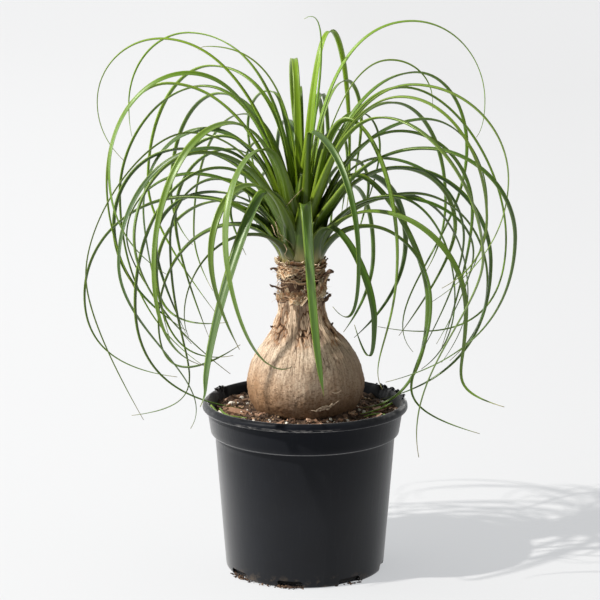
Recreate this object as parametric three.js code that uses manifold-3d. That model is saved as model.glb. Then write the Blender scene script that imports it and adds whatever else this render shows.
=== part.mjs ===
// A ponytail palm in its black nursery pot: a swollen woody base that narrows to a short trunk,
// a collar of dry leaf bases, and a fountain of long strap leaves that arch over and hang.
// Millimetres, +Z up, origin at the centre of the pot's flat underside, the photographed side at -Y.
import * as THREE from "three";
import { mergeVertices } from "three/addons/utils/BufferGeometryUtils.js";
import Module from "manifold-3d";

const wasm = await Module();
wasm.setup();

// Driving dimensions
const GAP = 0.4; // clearance between pieces that touch
const POT_RADIUS = 85; // outside of the lip, a common 17 cm nursery pot
const POT_HEIGHT = 142;
const POT_BASE_RADIUS = 66;
const POT_WALL = 1.4;
const FLOOR = 2;
const LIP_HEIGHT = 6.6;
const BAND_HEIGHT = 27.1; // the lip with the wider band under it
const SHOULDER_RADIUS = 74.6; // the body just under that band
const NOTCHES = 8; // drain notches round the bottom edge
const NOTCH = { wide: 21, tall: 6, deep: 5, first: 214 };
const SOIL_LEVEL = 131; // at the pot's wall
const SOIL_BANK = 4.5; // how far it rises up to the bulb
const SOIL_LINE_RADIUS = 40.8; // the bulb where it enters the soil
const NECK_X = -3; // the trunk's top leans this far to the left
const NECK_TOP = 257;
// Where leaves start in the growing point, [radius, height]: old low ones outside, young ones at its heart
const OLD_FOOT = [13, 265.5];
const YOUNG_FOOT = [3, 292];
const CREST_SPAN = [285, 435]; // the crest heights of the oldest and of the youngest
const BLADE = 6.8; // a common leaf's width, past its broad foot

const GOLDEN = 0.618034;
const radians = THREE.MathUtils.degToRad;
const lerp = THREE.MathUtils.lerp;
const smooth = (x, low, high) => THREE.MathUtils.smoothstep(x, low, high);
// The k-th even draw from 0 to 1, with its own start for each use
const draw = (k, start = 0) => (start + k * GOLDEN) % 1;

// Solids and meshes

// A closed geometry as a solid that can be joined and cut
function solid(geometry) {
  const plain = geometry.index ? geometry.toNonIndexed() : geometry.clone();
  plain.deleteAttribute("normal");
  plain.deleteAttribute("uv");
  const merged = mergeVertices(plain, 1e-4);
  return new wasm.Manifold(
    new wasm.Mesh({
      numProp: 3,
      vertProperties: merged.getAttribute("position").array,
      triVerts: new Uint32Array(merged.index.array),
    }),
  );
}

// A solid back as geometry
function geometryOf(body) {
  const mesh = body.getMesh();
  const geometry = new THREE.BufferGeometry();
  geometry.setAttribute("position", new THREE.BufferAttribute(mesh.vertProperties, 3));
  geometry.setIndex(new THREE.BufferAttribute(mesh.triVerts, 1));
  return geometry;
}

function named(name, body, colour, roughness) {
  const material = new THREE.MeshStandardMaterial({ color: colour, roughness, metalness: 0 });
  const mesh = new THREE.Mesh(geometryOf(body), material);
  mesh.name = name;
  return mesh;
}

// A profile of [radius, height] pairs turned about +Z. Each point is then moved by
// shape(radius, angle, height), which gives the new radius and height.
function turned(profile, sides, shape) {
  const points = profile.map(([r, z]) => new THREE.Vector2(r, z));
  const lathe = new THREE.LatheGeometry(points, sides);
  lathe.rotateX(Math.PI / 2);
  const place = lathe.getAttribute("position");
  for (let i = 0; i < place.count; i++) {
    const angle = Math.atan2(place.getY(i), place.getX(i));
    const radius = Math.hypot(place.getX(i), place.getY(i));
    if (radius < 1e-6 || !shape) continue;
    const [r, z] = shape(radius, angle, place.getZ(i));
    place.setXYZ(i, r * Math.cos(angle), r * Math.sin(angle), z);
  }
  return lathe;
}

// A closed skin over rings of the same number of points, from one flat end to the other. Each ring's
// points go round clockwise when seen along the way.
function skinned(rings) {
  const count = rings[0].length;
  const place = rings.flat().flatMap((p) => [p.x, p.y, p.z]);
  const faces = [];
  for (let i = 0; i + 1 < rings.length; i++)
    for (let j = 0; j < count; j++) {
      const [a, b] = [i * count + j, i * count + ((j + 1) % count)];
      faces.push(a, b + count, b, a, a + count, b + count);
    }
  const last = (rings.length - 1) * count;
  for (let j = 1; j + 1 < count; j++) {
    faces.push(0, j, j + 1);
    faces.push(last, last + j + 1, last + j);
  }
  const geometry = new THREE.BufferGeometry();
  geometry.setAttribute("position", new THREE.Float32BufferAttribute(place, 3));
  geometry.setIndex(faces);
  return geometry;
}

// The pot

const POT_BAND_FOOT = POT_HEIGHT - BAND_HEIGHT;
const POT_LIP_FOOT = POT_HEIGHT - LIP_HEIGHT;
const BAND = { foot: 78, top: 81 }; // outside radii of the band
const LIP_INSIDE = 79.6;
const LIP_BUMPS = [152, 32]; // degrees, where the rim is dented outward
// The inside of the wall at the floor, under the band and at the band's foot
const BORE = {
  floor: POT_BASE_RADIUS - POT_WALL - 0.3,
  shoulder: SHOULDER_RADIUS - POT_WALL - 0.2,
  band: BAND.foot - POT_WALL,
};

function nurseryPot() {
  const profile = [
    [0, 0],
    [POT_BASE_RADIUS - 2.2, 0],
    [POT_BASE_RADIUS - 0.6, 0.8],
    [POT_BASE_RADIUS, 3],
    [SHOULDER_RADIUS, POT_BAND_FOOT - 0.8],
    [BAND.foot, POT_BAND_FOOT + 0.4],
    [BAND.top, POT_LIP_FOOT],
    [POT_RADIUS - 0.8, POT_LIP_FOOT],
    [POT_RADIUS, POT_LIP_FOOT + 1.4],
    [POT_RADIUS - 0.5, POT_HEIGHT - 2.2],
    [POT_RADIUS - 2.6, POT_HEIGHT - 0.2],
    [LIP_INSIDE + 1.3, POT_HEIGHT],
    [LIP_INSIDE, POT_HEIGHT - 2.4],
    [BORE.band, POT_BAND_FOOT + 1],
    [BORE.shoulder, POT_BAND_FOOT - 0.2],
    [BORE.floor, FLOOR],
    [0, FLOOR],
  ];
  const dented = (r, angle, z) => {
    if (z < POT_LIP_FOOT - 1 || r < POT_RADIUS - 3) return [r, z];
    const near = LIP_BUMPS.map((at) => Math.cos(angle - radians(at)));
    const bump = smooth(Math.max(...near), 0.994, 1);
    return [r + 1.4 * bump + 0.25 * Math.cos(3 * angle + 1), z - 0.5 * bump];
  };
  let pot = solid(turned(profile, 60, dented));
  for (let i = 0; i < NOTCHES; i++) {
    const notch = new THREE.BoxGeometry(3 * NOTCH.deep, NOTCH.wide, 2 * NOTCH.tall);
    notch.translate(POT_BASE_RADIUS + NOTCH.deep / 2, 0, 0);
    notch.rotateZ(radians(NOTCH.first + (i * 360) / NOTCHES));
    pot = pot.subtract(solid(notch));
  }
  return pot;
}

// The soil, with a plain hole that the bulb's buried foot stands in

const ROOT_STOCK = [
  [9, 84],
  [14, 92],
  [22, 104],
  [29.5, 117],
  [34.5, 130.5],
  [SOIL_LINE_RADIUS, SOIL_LEVEL + SOIL_BANK],
];

function pottingSoil() {
  const edge = BORE.band + 0.9; // the band widens a little up to the soil's surface
  const level = (r) => SOIL_LEVEL + SOIL_BANK * (1 - smooth(r, 42, 66));
  const surface = [73, 66, 58, 51, 46, SOIL_LINE_RADIUS + GAP].map((r) => [r, level(r)]);
  const sides = ROOT_STOCK.slice(1, -1).map(([r, z]) => [r + GAP, z]);
  const [pitRadius, pitFloor] = ROOT_STOCK[0];
  const profile = [
    [0, FLOOR + GAP],
    [BORE.floor - GAP, FLOOR + GAP],
    [BORE.shoulder - GAP, POT_BAND_FOOT + 0.3],
    [BORE.band - GAP, POT_BAND_FOOT + 1 + GAP],
    [edge, SOIL_LEVEL - 1],
    ...surface,
    ...sides.reverse(),
    [pitRadius + GAP, pitFloor - GAP],
    [0, pitFloor - GAP],
  ];
  // Lumps of bark and crumbs stand up from the surface, most in its middle
  const lumpy = (r, angle, z) => {
    if (z < SOIL_LEVEL - 0.1 || r < SOIL_LINE_RADIUS + 2) return [r, z];
    const broad = 1.1 * Math.sin(5 * angle + 0.31 * r) + 0.9 * Math.sin(11 * angle - 0.5 * r);
    return [r, z + broad + 0.6 * Math.sin(17 * angle + r)];
  };
  return solid(turned(profile, 44, lumpy));
}

// The woody base and trunk, one grown piece: radius by height, lowest first

const BULB = [
  [42.7, 137],
  [46.9, 146],
  [48.5, 156],
  [47.7, 164.5],
  [43.7, 176.8],
  [36.9, 187.5],
  [30.6, 195],
  [26.4, 200.5],
  [22.8, 207],
  [20.4, 213],
  [19, 220],
  [18.4, 226.5],
  [15, 229],
  [14.8, 240],
  [14.6, NECK_TOP - 3],
  [13.8, NECK_TOP],
];

function caudexTrunk() {
  const profile = [[0, ROOT_STOCK[0][1]], ...ROOT_STOCK, ...BULB, [0, NECK_TOP]];
  // Furrows run down from the neck and fade out over the bulb's widest part
  const furrowed = (r, angle, z) => {
    const depth = smooth(z, 140, 205) * (1 - smooth(z, 219, 228));
    const broad = 0.5 * Math.sin(7 * angle + 0.8) + 0.3 * Math.sin(4 * angle - 1.1);
    const furrow = broad + 0.45 * Math.sin(13 * angle + 0.02 * z);
    const swell = smooth(z, 136, 145) * (0.5 * Math.sin(3 * angle + 1.9) + 0.35 * Math.sin(5 * angle));
    return [r + depth * furrow + swell * (1 - depth), z];
  };
  const trunk = turned(profile, 44, furrowed);
  const place = trunk.getAttribute("position");
  for (let i = 0; i < place.count; i++) place.setX(i, place.getX(i) + leanAt(place.getZ(i)));
  return solid(trunk);
}

// How far the trunk's own line stands off the pot's axis at a height
function leanAt(z) {
  return NECK_X * smooth(z, 186, 214);
}

// The collar of dry leaf bases: a ragged sleeve round the trunk's top, with torn stubs standing out of it

const COLLAR = { foot: 231, top: 260, thick: 2.2, clear: 1.2 };
const SHRED_FOOT = 17.2; // the radius at which a shred leaves the sleeve's wall
const STUBS = [
  { at: 184, foot: [SHRED_FOOT, 248.5], tip: [25.5, 252.5], wide: 5 },
  { at: 176, foot: [SHRED_FOOT, 236], tip: [26, 240], wide: 5 },
  { at: 190, foot: [SHRED_FOOT, 232.5], tip: [23, 235], wide: 4 },
  { at: 331, foot: [SHRED_FOOT, 243], tip: [30.5, 252], wide: 6 },
  { at: 342, foot: [SHRED_FOOT, 232.5], tip: [25, 235.5], wide: 5 },
];
const SCALES = 14; // flat torn bases between the stubs

function neckRadius(z) {
  const above = BULB.findIndex(([, height]) => height >= z);
  const [[r0, z0], [r1, z1]] = [BULB[above - 1], BULB[above]];
  return lerp(r0, r1, (z - z0) / (z1 - z0));
}

// A pointed flat shred in the upright plane at an azimuth, from a foot to a tip, each [radius, height]
function shred({ at, foot, tip, wide }) {
  const out = new THREE.Vector3(Math.cos(radians(at)), Math.sin(radians(at)), 0);
  const across = new THREE.Vector3(-out.y, out.x, 0);
  const corners = [
    [-0.5, -0.5],
    [0.5, -0.5],
    [0.5, 0.5],
    [-0.5, 0.5],
  ];
  const ring = ([r, z], width, thick) =>
    corners.map(([side, deep]) =>
      new THREE.Vector3(NECK_X, 0, z)
        .addScaledVector(out, r + deep * thick)
        .addScaledVector(across, side * width),
    );
  const middle = [lerp(foot[0], tip[0], 0.55), lerp(foot[1], tip[1], 0.4)];
  return skinned([ring(foot, wide, 2.4), ring(middle, 0.9 * wide, 1.8), ring(tip, 1.6, 1.0)]);
}

function dryLeafBases() {
  const { foot, top, thick } = COLLAR;
  const inside = (z) => neckRadius(THREE.MathUtils.clamp(z, 229, NECK_TOP - 4)) + COLLAR.clear;
  const levels = [0, 0.3, 0.55, 0.8, 1].map((part) => lerp(foot, top, part));
  const outer = levels.map((z, i) => [inside(z) + thick * [0.5, 0.9, 0.7, 1.1, 0.5][i], z]);
  const inner = levels.map((z) => [inside(z), z]).reverse();
  const profile = [...outer, ...inner, outer[0]];
  const ragged = (r, angle, z) => {
    const end = z > top - 1 ? 1 : z < foot + 1 ? -0.8 : 0;
    const tooth = 1.5 * Math.sin(9 * angle) + 1.2 * Math.sin(5 * angle + 2);
    return [r, z + end * tooth];
  };
  const sleeve = turned(profile, 30, ragged);
  sleeve.translate(NECK_X, 0, 0);
  let collar = solid(sleeve);
  for (let i = 0; i < SCALES; i++) {
    const z = foot + 3 + 20 * draw(i, 0.2);
    const flare = 2.6 + 3.2 * draw(i, 0.7);
    const at = (i * 360) / SCALES + 9 * draw(i, 0.4);
    const scale = { at, foot: [SHRED_FOOT, z], tip: [SHRED_FOOT + flare, z + 10], wide: 6.5 };
    collar = collar.add(solid(shred(scale)));
  }
  for (const stub of STUBS) collar = collar.add(solid(shred(stub)));
  return collar;
}

// The leaves. Each one is a curve in an upright plane through the trunk's top: it climbs from the growing
// point to its crest, goes over to its widest reach and hangs in to its tip. crest, reach and tip are
// [radius, height]; at is its azimuth in degrees. fan: how far out it climbs (0 straight up, 0.5 straight
// for the crest). full: how square its shoulder is. drop: how far it hangs straight below the reach.
// flick: how far the last stretch turns back out. sweep: degrees that the tip drifts round.
// wide: its width near its foot. taper: how late it narrows to its tip. roll: how far it turns over, in
// degrees.

const SHOWN_LEAVES = [
  { at: 168, crest: [116, 438], reach: [172, 384], tip: [149, 336], drop: 28, fan: 0.34, wide: 5 },
  { at: 147, crest: [108, 440], reach: [175, 375], tip: [172, 349], drop: 18, fan: 0.14, wide: 4.6 },
  { at: 205, crest: [83, 436], reach: [88, 434], tip: [89, 433], drop: 1, fan: -0.03, wide: 3.8 },
  { at: 140, crest: [93, 413], reach: [173, 306], tip: [95, 202], drop: 36, fan: 0.1, wide: 5.4 },
  { at: 193, crest: [93, 414], reach: [157, 335], tip: [112, 252], drop: 54, wide: 6.4 },
  { at: 172, crest: [109, 403], reach: [162, 318], tip: [140, 232], drop: 43, wide: 6.6 },
  { at: 158, crest: [85, 399], reach: [165, 303], tip: [88, 162], drop: 100, full: 0.5, wide: 5.6 },
  { at: 188, crest: [92, 366], reach: [176, 250], tip: [131, 129], drop: 36, full: 0.42, wide: 5.6 },
  { at: 165, crest: [91, 309], reach: [190, 218], tip: [108, 154], drop: 60, wide: 7.6 },
  { at: 160, crest: [100, 347], reach: [168, 278], tip: [102, 192], drop: 52 },
  { at: 222, crest: [77, 378], reach: [153, 269], tip: [105, 187], drop: 65, wide: 7.4 },
  { at: 190, crest: [68, 338], reach: [137, 226], tip: [48, 136], drop: 76 },
  { at: 183, crest: [73, 352], reach: [149, 256], tip: [20, 118], drop: 60, flick: 72, wide: 5.8 },
  { at: 212, crest: [96, 355], reach: [154, 291], tip: [68, 172], drop: 51, wide: 7 },
  { at: 158, crest: [73, 323], reach: [119, 267], tip: [50, 113], drop: 113, flick: 107, wide: 6 },
  { at: 145, crest: [71, 302], reach: [152, 230], tip: [75, 198], drop: 50, wide: 5 },
  { at: 160, crest: [53, 287], reach: [129, 198], tip: [54, 184], drop: 67, wide: 7.4 },
  { at: 228, crest: [70, 289], reach: [136, 234], tip: [131, 216], drop: 10, wide: 7.4 },
  { at: 122, crest: [84, 371], reach: [180, 257], tip: [147, 209], drop: 24, wide: 5 },
  { at: 133, crest: [94, 389], reach: [166, 297], tip: [138, 254], drop: 26 },
  { at: 240, crest: [88, 332], reach: [138, 283], tip: [97, 203], drop: 30, wide: 7 },
  { at: 167, crest: [65, 360], reach: [124, 257], tip: [58, 176], drop: 97, wide: 5.4 },
  { at: 236, crest: [52, 323], reach: [133, 179], tip: [140, 165], drop: 8, full: 0.25, wide: 9, taper: 6,
    roll: -10 },
  { at: 240, crest: [64, 358], reach: [136, 270], tip: [62, 184], drop: 84, sweep: 23, wide: 8 },
  { at: 274.4, crest: [36, 313], reach: [68, 222], tip: [66, 160], drop: 28, sweep: 11.4, wide: 9,
    taper: 5, roll: 35 },
  { at: 297, crest: [16, 367], reach: [98, 271], tip: [55, 230], drop: 60, wide: 6.8 },
  { at: 0, crest: [44, 331], reach: [104, 226], tip: [50, 137], drop: 84, full: 0.36, sweep: -12, wide: 9 },
  { at: 315, crest: [32, 291], reach: [82, 219], tip: [60, 214], drop: 54, full: 0.42, wide: 8 },
  { at: 335, crest: [41, 377], reach: [85, 268], tip: [46, 158], drop: 70, full: 0.5, flick: 27, wide: 9 },
  { at: 62, crest: [84, 311], reach: [134, 244], tip: [77, 184], drop: 35, wide: 7.6 },
  { at: 40, crest: [64, 324], reach: [116, 262], tip: [58, 186], drop: 45 },
  { at: 97, crest: [58, 419], reach: [110, 345], tip: [104, 300], drop: 30, sweep: -8, wide: 7 },
  { at: 93, crest: [46, 397], reach: [104, 325], tip: [98, 290], drop: 20 },
  { at: 180, crest: [-8, 457], reach: [-4, 456], tip: [-2, 455], drop: 0.2, fan: 2.85, wide: 3.8 },
  { at: 62, crest: [50, 443], reach: [87, 335], tip: [82, 290], drop: 30, wide: 9, taper: 1 },
  { at: 15, crest: [92, 452], reach: [157, 384], tip: [150, 355], drop: 20, fan: 0.12, wide: 6, taper: 1.2 },
  { at: 35, crest: [87, 418], reach: [135, 380], tip: [135, 374], drop: 3, wide: 4 },
  { at: 78, crest: [80, 388], reach: [112, 335], tip: [104, 300], drop: 20 },
  { at: 35, crest: [113, 407], reach: [173, 338], tip: [20, 167], drop: 84, flick: 97, wide: 5.4 },
  { at: 347, crest: [92, 405], reach: [169, 330], tip: [107, 228], drop: 60, wide: 6.8 },
  { at: 10, crest: [83, 400], reach: [173, 270], tip: [64, 201], drop: 95, full: 0.47, wide: 6.4 },
  { at: 330, crest: [93, 398], reach: [166, 305], tip: [128, 248], drop: 35, wide: 6 },
  { at: 45, crest: [103, 381], reach: [178, 288], tip: [152, 228], drop: 35 },
  { at: 28, crest: [114, 369], reach: [180, 290], tip: [156, 221], drop: 35, wide: 5.4 },
  { at: 320, crest: [86, 383], reach: [181, 280], tip: [60, 114], drop: 40, full: 0.5, flick: 62, wide: 7.4 },
  { at: 338, crest: [108, 357], reach: [181, 288], tip: [74, 163], drop: 90, wide: 7 },
  { at: 3, crest: [78, 336], reach: [156, 254], tip: [66, 141], drop: 92 },
  { at: 20, crest: [95, 310], reach: [168, 229], tip: [134, 164], drop: 40, wide: 5.4 },
  { at: 349, crest: [75, 315], reach: [127, 232], tip: [100, 172], drop: 40 },
  { at: 332, crest: [68, 305], reach: [147, 230], tip: [126, 157], drop: 55, flick: 55 },
  { at: 345, crest: [56, 291], reach: [109, 228], tip: [42, 123], drop: 60, flick: 108 },
  { at: 25, crest: [88, 308], reach: [157, 216], tip: [132, 160], drop: 28, wide: 5.4 },
];

// The rest of the crown follows one rule: from young and upright to old and low, with the azimuths spread
// evenly over each arc. Those behind the trunk stay short, so that light shows past it.
const REST = [
  { leaves: 12, from: 48, to: 132, crest: [58, 86], top: [404, 305], reach: [96, 122], hang: [62, 34] },
  { leaves: 4, from: 144, to: 180, crest: [60, 98], top: [372, 302], reach: [126, 158], hang: [120, 70] },
  { leaves: 4, from: -40, to: 34, crest: [60, 98], top: [372, 302], reach: [126, 158], hang: [120, 70] },
];

function restOfLeaves() {
  return REST.flatMap(({ leaves, from, to, crest, top, reach, hang }, arc) =>
    Array.from({ length: leaves }, (_, k) => {
      const age = (k + 0.5) / leaves;
      const out = lerp(reach[0], reach[1], draw(k, 0.3 + arc * 0.17));
      const height = lerp(top[0], top[1], age);
      const bow = 0.62 * lerp(hang[0], hang[1], age);
      return {
        at: lerp(from, to, draw(k, 0.15 + arc * 0.29)),
        crest: [lerp(crest[0], crest[1], draw(k, 0.55)), height],
        reach: [out, height - bow],
        tip: [out * lerp(0.62, 0.88, draw(k, 0.8)), height - bow - lerp(hang[0], hang[1], age)],
        drop: 0.5 * bow,
        wide: lerp(4.6, 6, draw(k, 0.45)),
      };
    }),
  );
}

// A point of the quadratic or cubic curve through its control points at t
const quadratic = (a, b, c, t) => (1 - t) ** 2 * a + 2 * t * (1 - t) * b + t ** 2 * c;
const cubic = (a, b, c, d, t) =>
  (1 - t) ** 3 * a + 3 * t * (1 - t) ** 2 * b + 3 * t ** 2 * (1 - t) * c + t ** 3 * d;
const ARC_STEPS = 24;
const LEAF_SEGMENTS = 14;

// A leaf's middle line: [radius, height] points with u, their share of its length. Half of their spacing
// goes by length and half by how much the leaf turns, so that hooked tips keep their round.
function leafArc({ crest, reach, tip, drop, fan = 0.36, full = 0.55, flick = 0 }) {
  const young = THREE.MathUtils.clamp(THREE.MathUtils.inverseLerp(...CREST_SPAN, crest[1]), 0, 1);
  const foot = OLD_FOOT.map((old, i) => lerp(old, YOUNG_FOOT[i], young));
  const climb = foot[0] + fan * (crest[0] - foot[0]);
  const shoulder = [lerp(crest[0], reach[0], full), lerp(reach[1], crest[1], full)];
  const steps = Array.from({ length: ARC_STEPS }, (_, i) => (i + 1) / ARC_STEPS);
  const line = [
    new THREE.Vector2(...foot),
    ...steps.map((t) => new THREE.Vector2(
      quadratic(foot[0], climb, crest[0], t),
      quadratic(foot[1], crest[1], crest[1], t))),
    ...steps.map((t) => new THREE.Vector2(
      cubic(crest[0], shoulder[0], reach[0], reach[0], t),
      cubic(crest[1], crest[1], shoulder[1], reach[1], t))),
    ...steps.map((t) => new THREE.Vector2(
      quadratic(reach[0], reach[0], tip[0], t) + flick * t ** 5,
      quadratic(reach[1], reach[1] - drop, tip[1], t))),
  ];
  const length = line.map(() => 0);
  const turning = line.map(() => 0);
  for (let i = 1; i < line.length; i++) {
    const step = line[i].clone().sub(line[i - 1]);
    const before = i > 1 ? line[i - 1].clone().sub(line[i - 2]) : step;
    const bend = Math.abs(Math.atan2(before.cross(step), before.dot(step)));
    length[i] = length[i - 1] + step.length();
    turning[i] = turning[i - 1] + bend;
  }
  const [whole, round] = [length.at(-1), turning.at(-1)];
  const measure = line.map((_, i) => 0.5 * (length[i] / whole + turning[i] / round));
  return Array.from({ length: LEAF_SEGMENTS + 1 }, (_, i) => {
    const along = i / LEAF_SEGMENTS;
    const next = Math.max(1, measure.findIndex((share) => share >= along - 1e-9));
    const part = (along - measure[next - 1]) / (measure[next] - measure[next - 1]);
    const point = line[next - 1].clone().lerp(line[next], part);
    return { point, u: lerp(length[next - 1], length[next], part) / whole };
  });
}

// A blade's width along its length: a broad clasping foot, a long even strap, a fine tip
function bladeWidth(wide, taper, u) {
  const foot = 1 + 0.95 * (1 - smooth(u, 0, 0.22));
  return wide * foot * (1 - 0.84 * u ** taper);
}

// How far a leaf rolls about its own line as it goes over its crest, to one side or the other: most where it
// arches to the left or right, and little where it reaches far out
function usualRoll({ at, reach }, k) {
  const hand = k % 2 ? 1 : -1;
  const sideways = Math.abs(Math.cos(radians(at)));
  return hand * lerp(16, 60, draw(k, 0.37)) * sideways * (1 - 0.75 * smooth(reach[0], 140, 172));
}

// One blade: a three-sided section, flat above and keeled below, carried along its arc
function blade(leaf, k) {
  const arc = leafArc(leaf);
  const { at, sweep = 0, wide = BLADE, taper = 1.9, roll = usualRoll(leaf, k) } = leaf;
  const rings = arc.map(({ point, u }, i) => {
    const azimuth = radians(at + sweep * u ** 3);
    const out = new THREE.Vector3(Math.cos(azimuth), Math.sin(azimuth), 0);
    const [behind, front] = [arc[Math.max(i - 1, 0)], arc[Math.min(i + 1, LEAF_SEGMENTS)]];
    const ahead = front.point.clone().sub(behind.point).normalize();
    const up = out.clone().multiplyScalar(-ahead.y).setZ(ahead.x);
    const along = out.clone().multiplyScalar(ahead.x).setZ(ahead.y);
    const turn = radians(roll) * smooth(u, 0.1, 0.45);
    const above = up.applyAxisAngle(along, turn);
    const across = new THREE.Vector3().crossVectors(along, above);
    const width = bladeWidth(wide, taper, u);
    const keel = 0.75 + 0.15 * width;
    const middle = out.clone().multiplyScalar(point.x).add(new THREE.Vector3(NECK_X, 0, point.y));
    return [
      middle.clone().addScaledVector(across, -width / 2),
      middle.clone().addScaledVector(above, -keel),
      middle.clone().addScaledVector(across, width / 2),
    ];
  });
  return skinned(rings);
}

// The growing point: the sheath of clasping leaf feet that all blades stand out of
const HEART = [
  [0, NECK_TOP + GAP],
  [13.6, NECK_TOP + GAP],
  [14.4, 264],
  [17, 270],
  [16.4, 280],
  [14, 292],
  [11, 304],
  [7.4, 318],
  [3.4, 332],
  [0, 334],
];

function leafCrown() {
  const heart = turned(HEART, 20, (r, angle, z) => [r * (1 + 0.05 * Math.sin(5 * angle + 0.1 * z)), z]);
  heart.translate(NECK_X, 0, 0);
  const leaves = [...SHOWN_LEAVES, ...restOfLeaves()];
  const crown = leaves.reduce((sum, leaf, k) => sum.add(solid(blade(leaf, k))), solid(heart));
  // Where leaves cross they can seal a speck of air, which is filled
  return crown.decompose().reduce((whole, part) => (part.volume() > whole.volume() ? part : whole));
}

// The whole plant in its pot

const palm = new THREE.Group();
palm.name = "ponytail_palm";
palm.add(named("nursery_pot", nurseryPot(), 0x24262a, 0.45));
palm.add(named("potting_soil", pottingSoil(), 0x4a3426, 0.95));
palm.add(named("caudex_trunk", caudexTrunk(), 0xb59a7c, 0.85));
palm.add(named("dry_leaf_bases", dryLeafBases(), 0x8a6a48, 0.9));
palm.add(named("leaf_crown", leafCrown(), 0x5f8a2f, 0.5));

export default palm;
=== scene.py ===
"""A ponytail palm in its black nursery pot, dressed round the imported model.

Lengths are in millimetres until a mesh is made. +Z is up, and the photographed side is at -Y.
"""
import math

import bpy
import numpy as np
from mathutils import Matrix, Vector


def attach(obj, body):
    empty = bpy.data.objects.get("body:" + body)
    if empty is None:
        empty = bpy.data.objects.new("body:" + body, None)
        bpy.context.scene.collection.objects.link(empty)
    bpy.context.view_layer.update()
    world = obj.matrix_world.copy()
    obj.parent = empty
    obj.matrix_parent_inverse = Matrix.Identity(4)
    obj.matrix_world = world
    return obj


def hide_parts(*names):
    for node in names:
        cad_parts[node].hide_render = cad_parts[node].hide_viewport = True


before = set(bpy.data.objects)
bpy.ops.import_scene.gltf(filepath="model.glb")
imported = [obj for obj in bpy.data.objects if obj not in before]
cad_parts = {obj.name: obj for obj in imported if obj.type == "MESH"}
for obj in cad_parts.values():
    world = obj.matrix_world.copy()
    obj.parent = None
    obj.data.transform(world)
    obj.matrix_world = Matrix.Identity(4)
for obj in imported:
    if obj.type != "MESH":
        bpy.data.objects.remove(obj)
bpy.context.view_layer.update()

MM = 0.001
BODY = "root"
GOLDEN = 0.618034
UP = np.array([0, 0, 1.0])
ARC_POINTS = 4
LATTICE_CELLS = 32
LATTICE = np.random.default_rng(11).random((LATTICE_CELLS,) * 3)


# Arrays

def part_way(x, low, high):
    """The share of the way that x is from low to high, from 0 to 1."""
    return np.clip((x - low) / (high - low), 0, 1)


def smooth(x, low, high):
    """0 below low, 1 above high, and 3t^2 - 2t^3 between, t being the share of the way. With high the
    smaller it runs from 1 down to 0."""
    t = part_way(x, low, high)
    return t * t * (3 - 2 * t)


def lerp(a, b, t):
    """a plus the share t of the way to b."""
    return a + (b - a) * t


def draw(k, start=0.0, low=0.0, high=1.0):
    """The k-th even draw from low to high, by the fraction of start plus k golden ratios."""
    return lerp(low, high, (start + np.asarray(k) * GOLDEN) % 1)


def bezier(t, *corners):
    """The Bezier curve of the corners: each is joined to the next by lerp, again and again, until one point
    is left."""
    while len(corners) > 1:
        corners = [lerp(a, b, t) for a, b in zip(corners, corners[1:])]
    return corners[0]


def noise(points, size):
    """Value noise from 0 to 1: the eight lattice values round a point, a cell being size mm, blended by
    smoothstep along each axis."""
    place = np.asarray(points, float) / size
    cell = np.floor(place).astype(int)
    part = smooth(place - cell, 0, 1)
    total = 0
    for corner in np.ndindex(2, 2, 2):
        share = np.where(corner, part, 1 - part).prod(axis=-1)
        index = np.moveaxis((cell + corner) % LATTICE_CELLS, -1, 0)
        total = total + share * LATTICE[tuple(index)]
    return total


def rough(points, size, octaves=3):
    """Noise about 0: octaves of it, each of half the size and half the weight of the last."""
    waves = [(noise(points, size / 2 ** k) - 0.5) / 2 ** k for k in range(octaves)]
    return sum(waves)


def unit(vectors):
    """Vectors divided by their lengths."""
    return vectors / np.linalg.norm(vectors, axis=-1, keepdims=True)


def polar(radius, angle, height, centre=0.0):
    """Points at a radius and an angle in radians about a vertical line at x = centre, and at a height."""
    radius, angle, height, centre = np.broadcast_arrays(radius, angle, height, centre)
    return np.stack([centre + radius * np.cos(angle), radius * np.sin(angle), height], axis=-1)


def turn_about(points, axis, angle):
    """Points turned about a unit axis through the origin:
    p cos a + (axis x p) sin a + axis (axis.p)(1 - cos a)."""
    along = (points * axis).sum(axis=-1, keepdims=True)
    return (points * np.cos(angle) + np.cross(axis, points) * np.sin(angle)
            + axis * along * (1 - np.cos(angle)))


def full_turn(count):
    """count even angles round a full turn, in radians."""
    return np.linspace(0, 2 * np.pi, count, endpoint=False)


def curve_through(knots, count):
    """count points along a Catmull-Rom curve through the knots, evenly shared between their spans."""
    knots = np.asarray(knots, float)
    padded = np.concatenate([2 * knots[:1] - knots[1:2], knots, 2 * knots[-1:] - knots[-2:-1]])
    place = np.linspace(0, len(knots) - 1, count)
    span = np.minimum(place.astype(int), len(knots) - 2)
    t = (place - span)[:, None]
    a, b, c, d = (padded[span + k] for k in range(4))
    return b + 0.5 * t * (c - a + t * (2 * a - 5 * b + 4 * c - d + t * (3 * (b - c) + d - a)))


def rounded(corners, radius):
    """A profile with each inner corner replaced by a quadratic arc that starts and ends radius away from it,
    or at two fifths of a shorter side."""
    corners = np.asarray(corners, float)
    sides = np.diff(corners, axis=0)
    reach = np.minimum(radius, 0.4 * np.linalg.norm(sides, axis=1))[:, None]
    ahead = unit(sides) * reach
    t = np.linspace(0, 1, ARC_POINTS)[:, None]
    arcs = [bezier(t, p - before, p, p + after)
            for p, before, after in zip(corners[1:-1], ahead[:-1], ahead[1:])]
    return np.concatenate([corners[:1], *arcs, corners[-1:]])


def spread(profile, longest):
    """A profile with points added along its long sides, so that no side is longer than longest."""
    parts = [profile[:1]]
    for a, b in zip(profile[:-1], profile[1:]):
        count = max(1, math.ceil(np.linalg.norm(b - a) / longest))
        parts.append(a + (b - a) * (np.arange(1, count + 1) / count)[:, None])
    return np.concatenate(parts)


# Meshes

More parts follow.
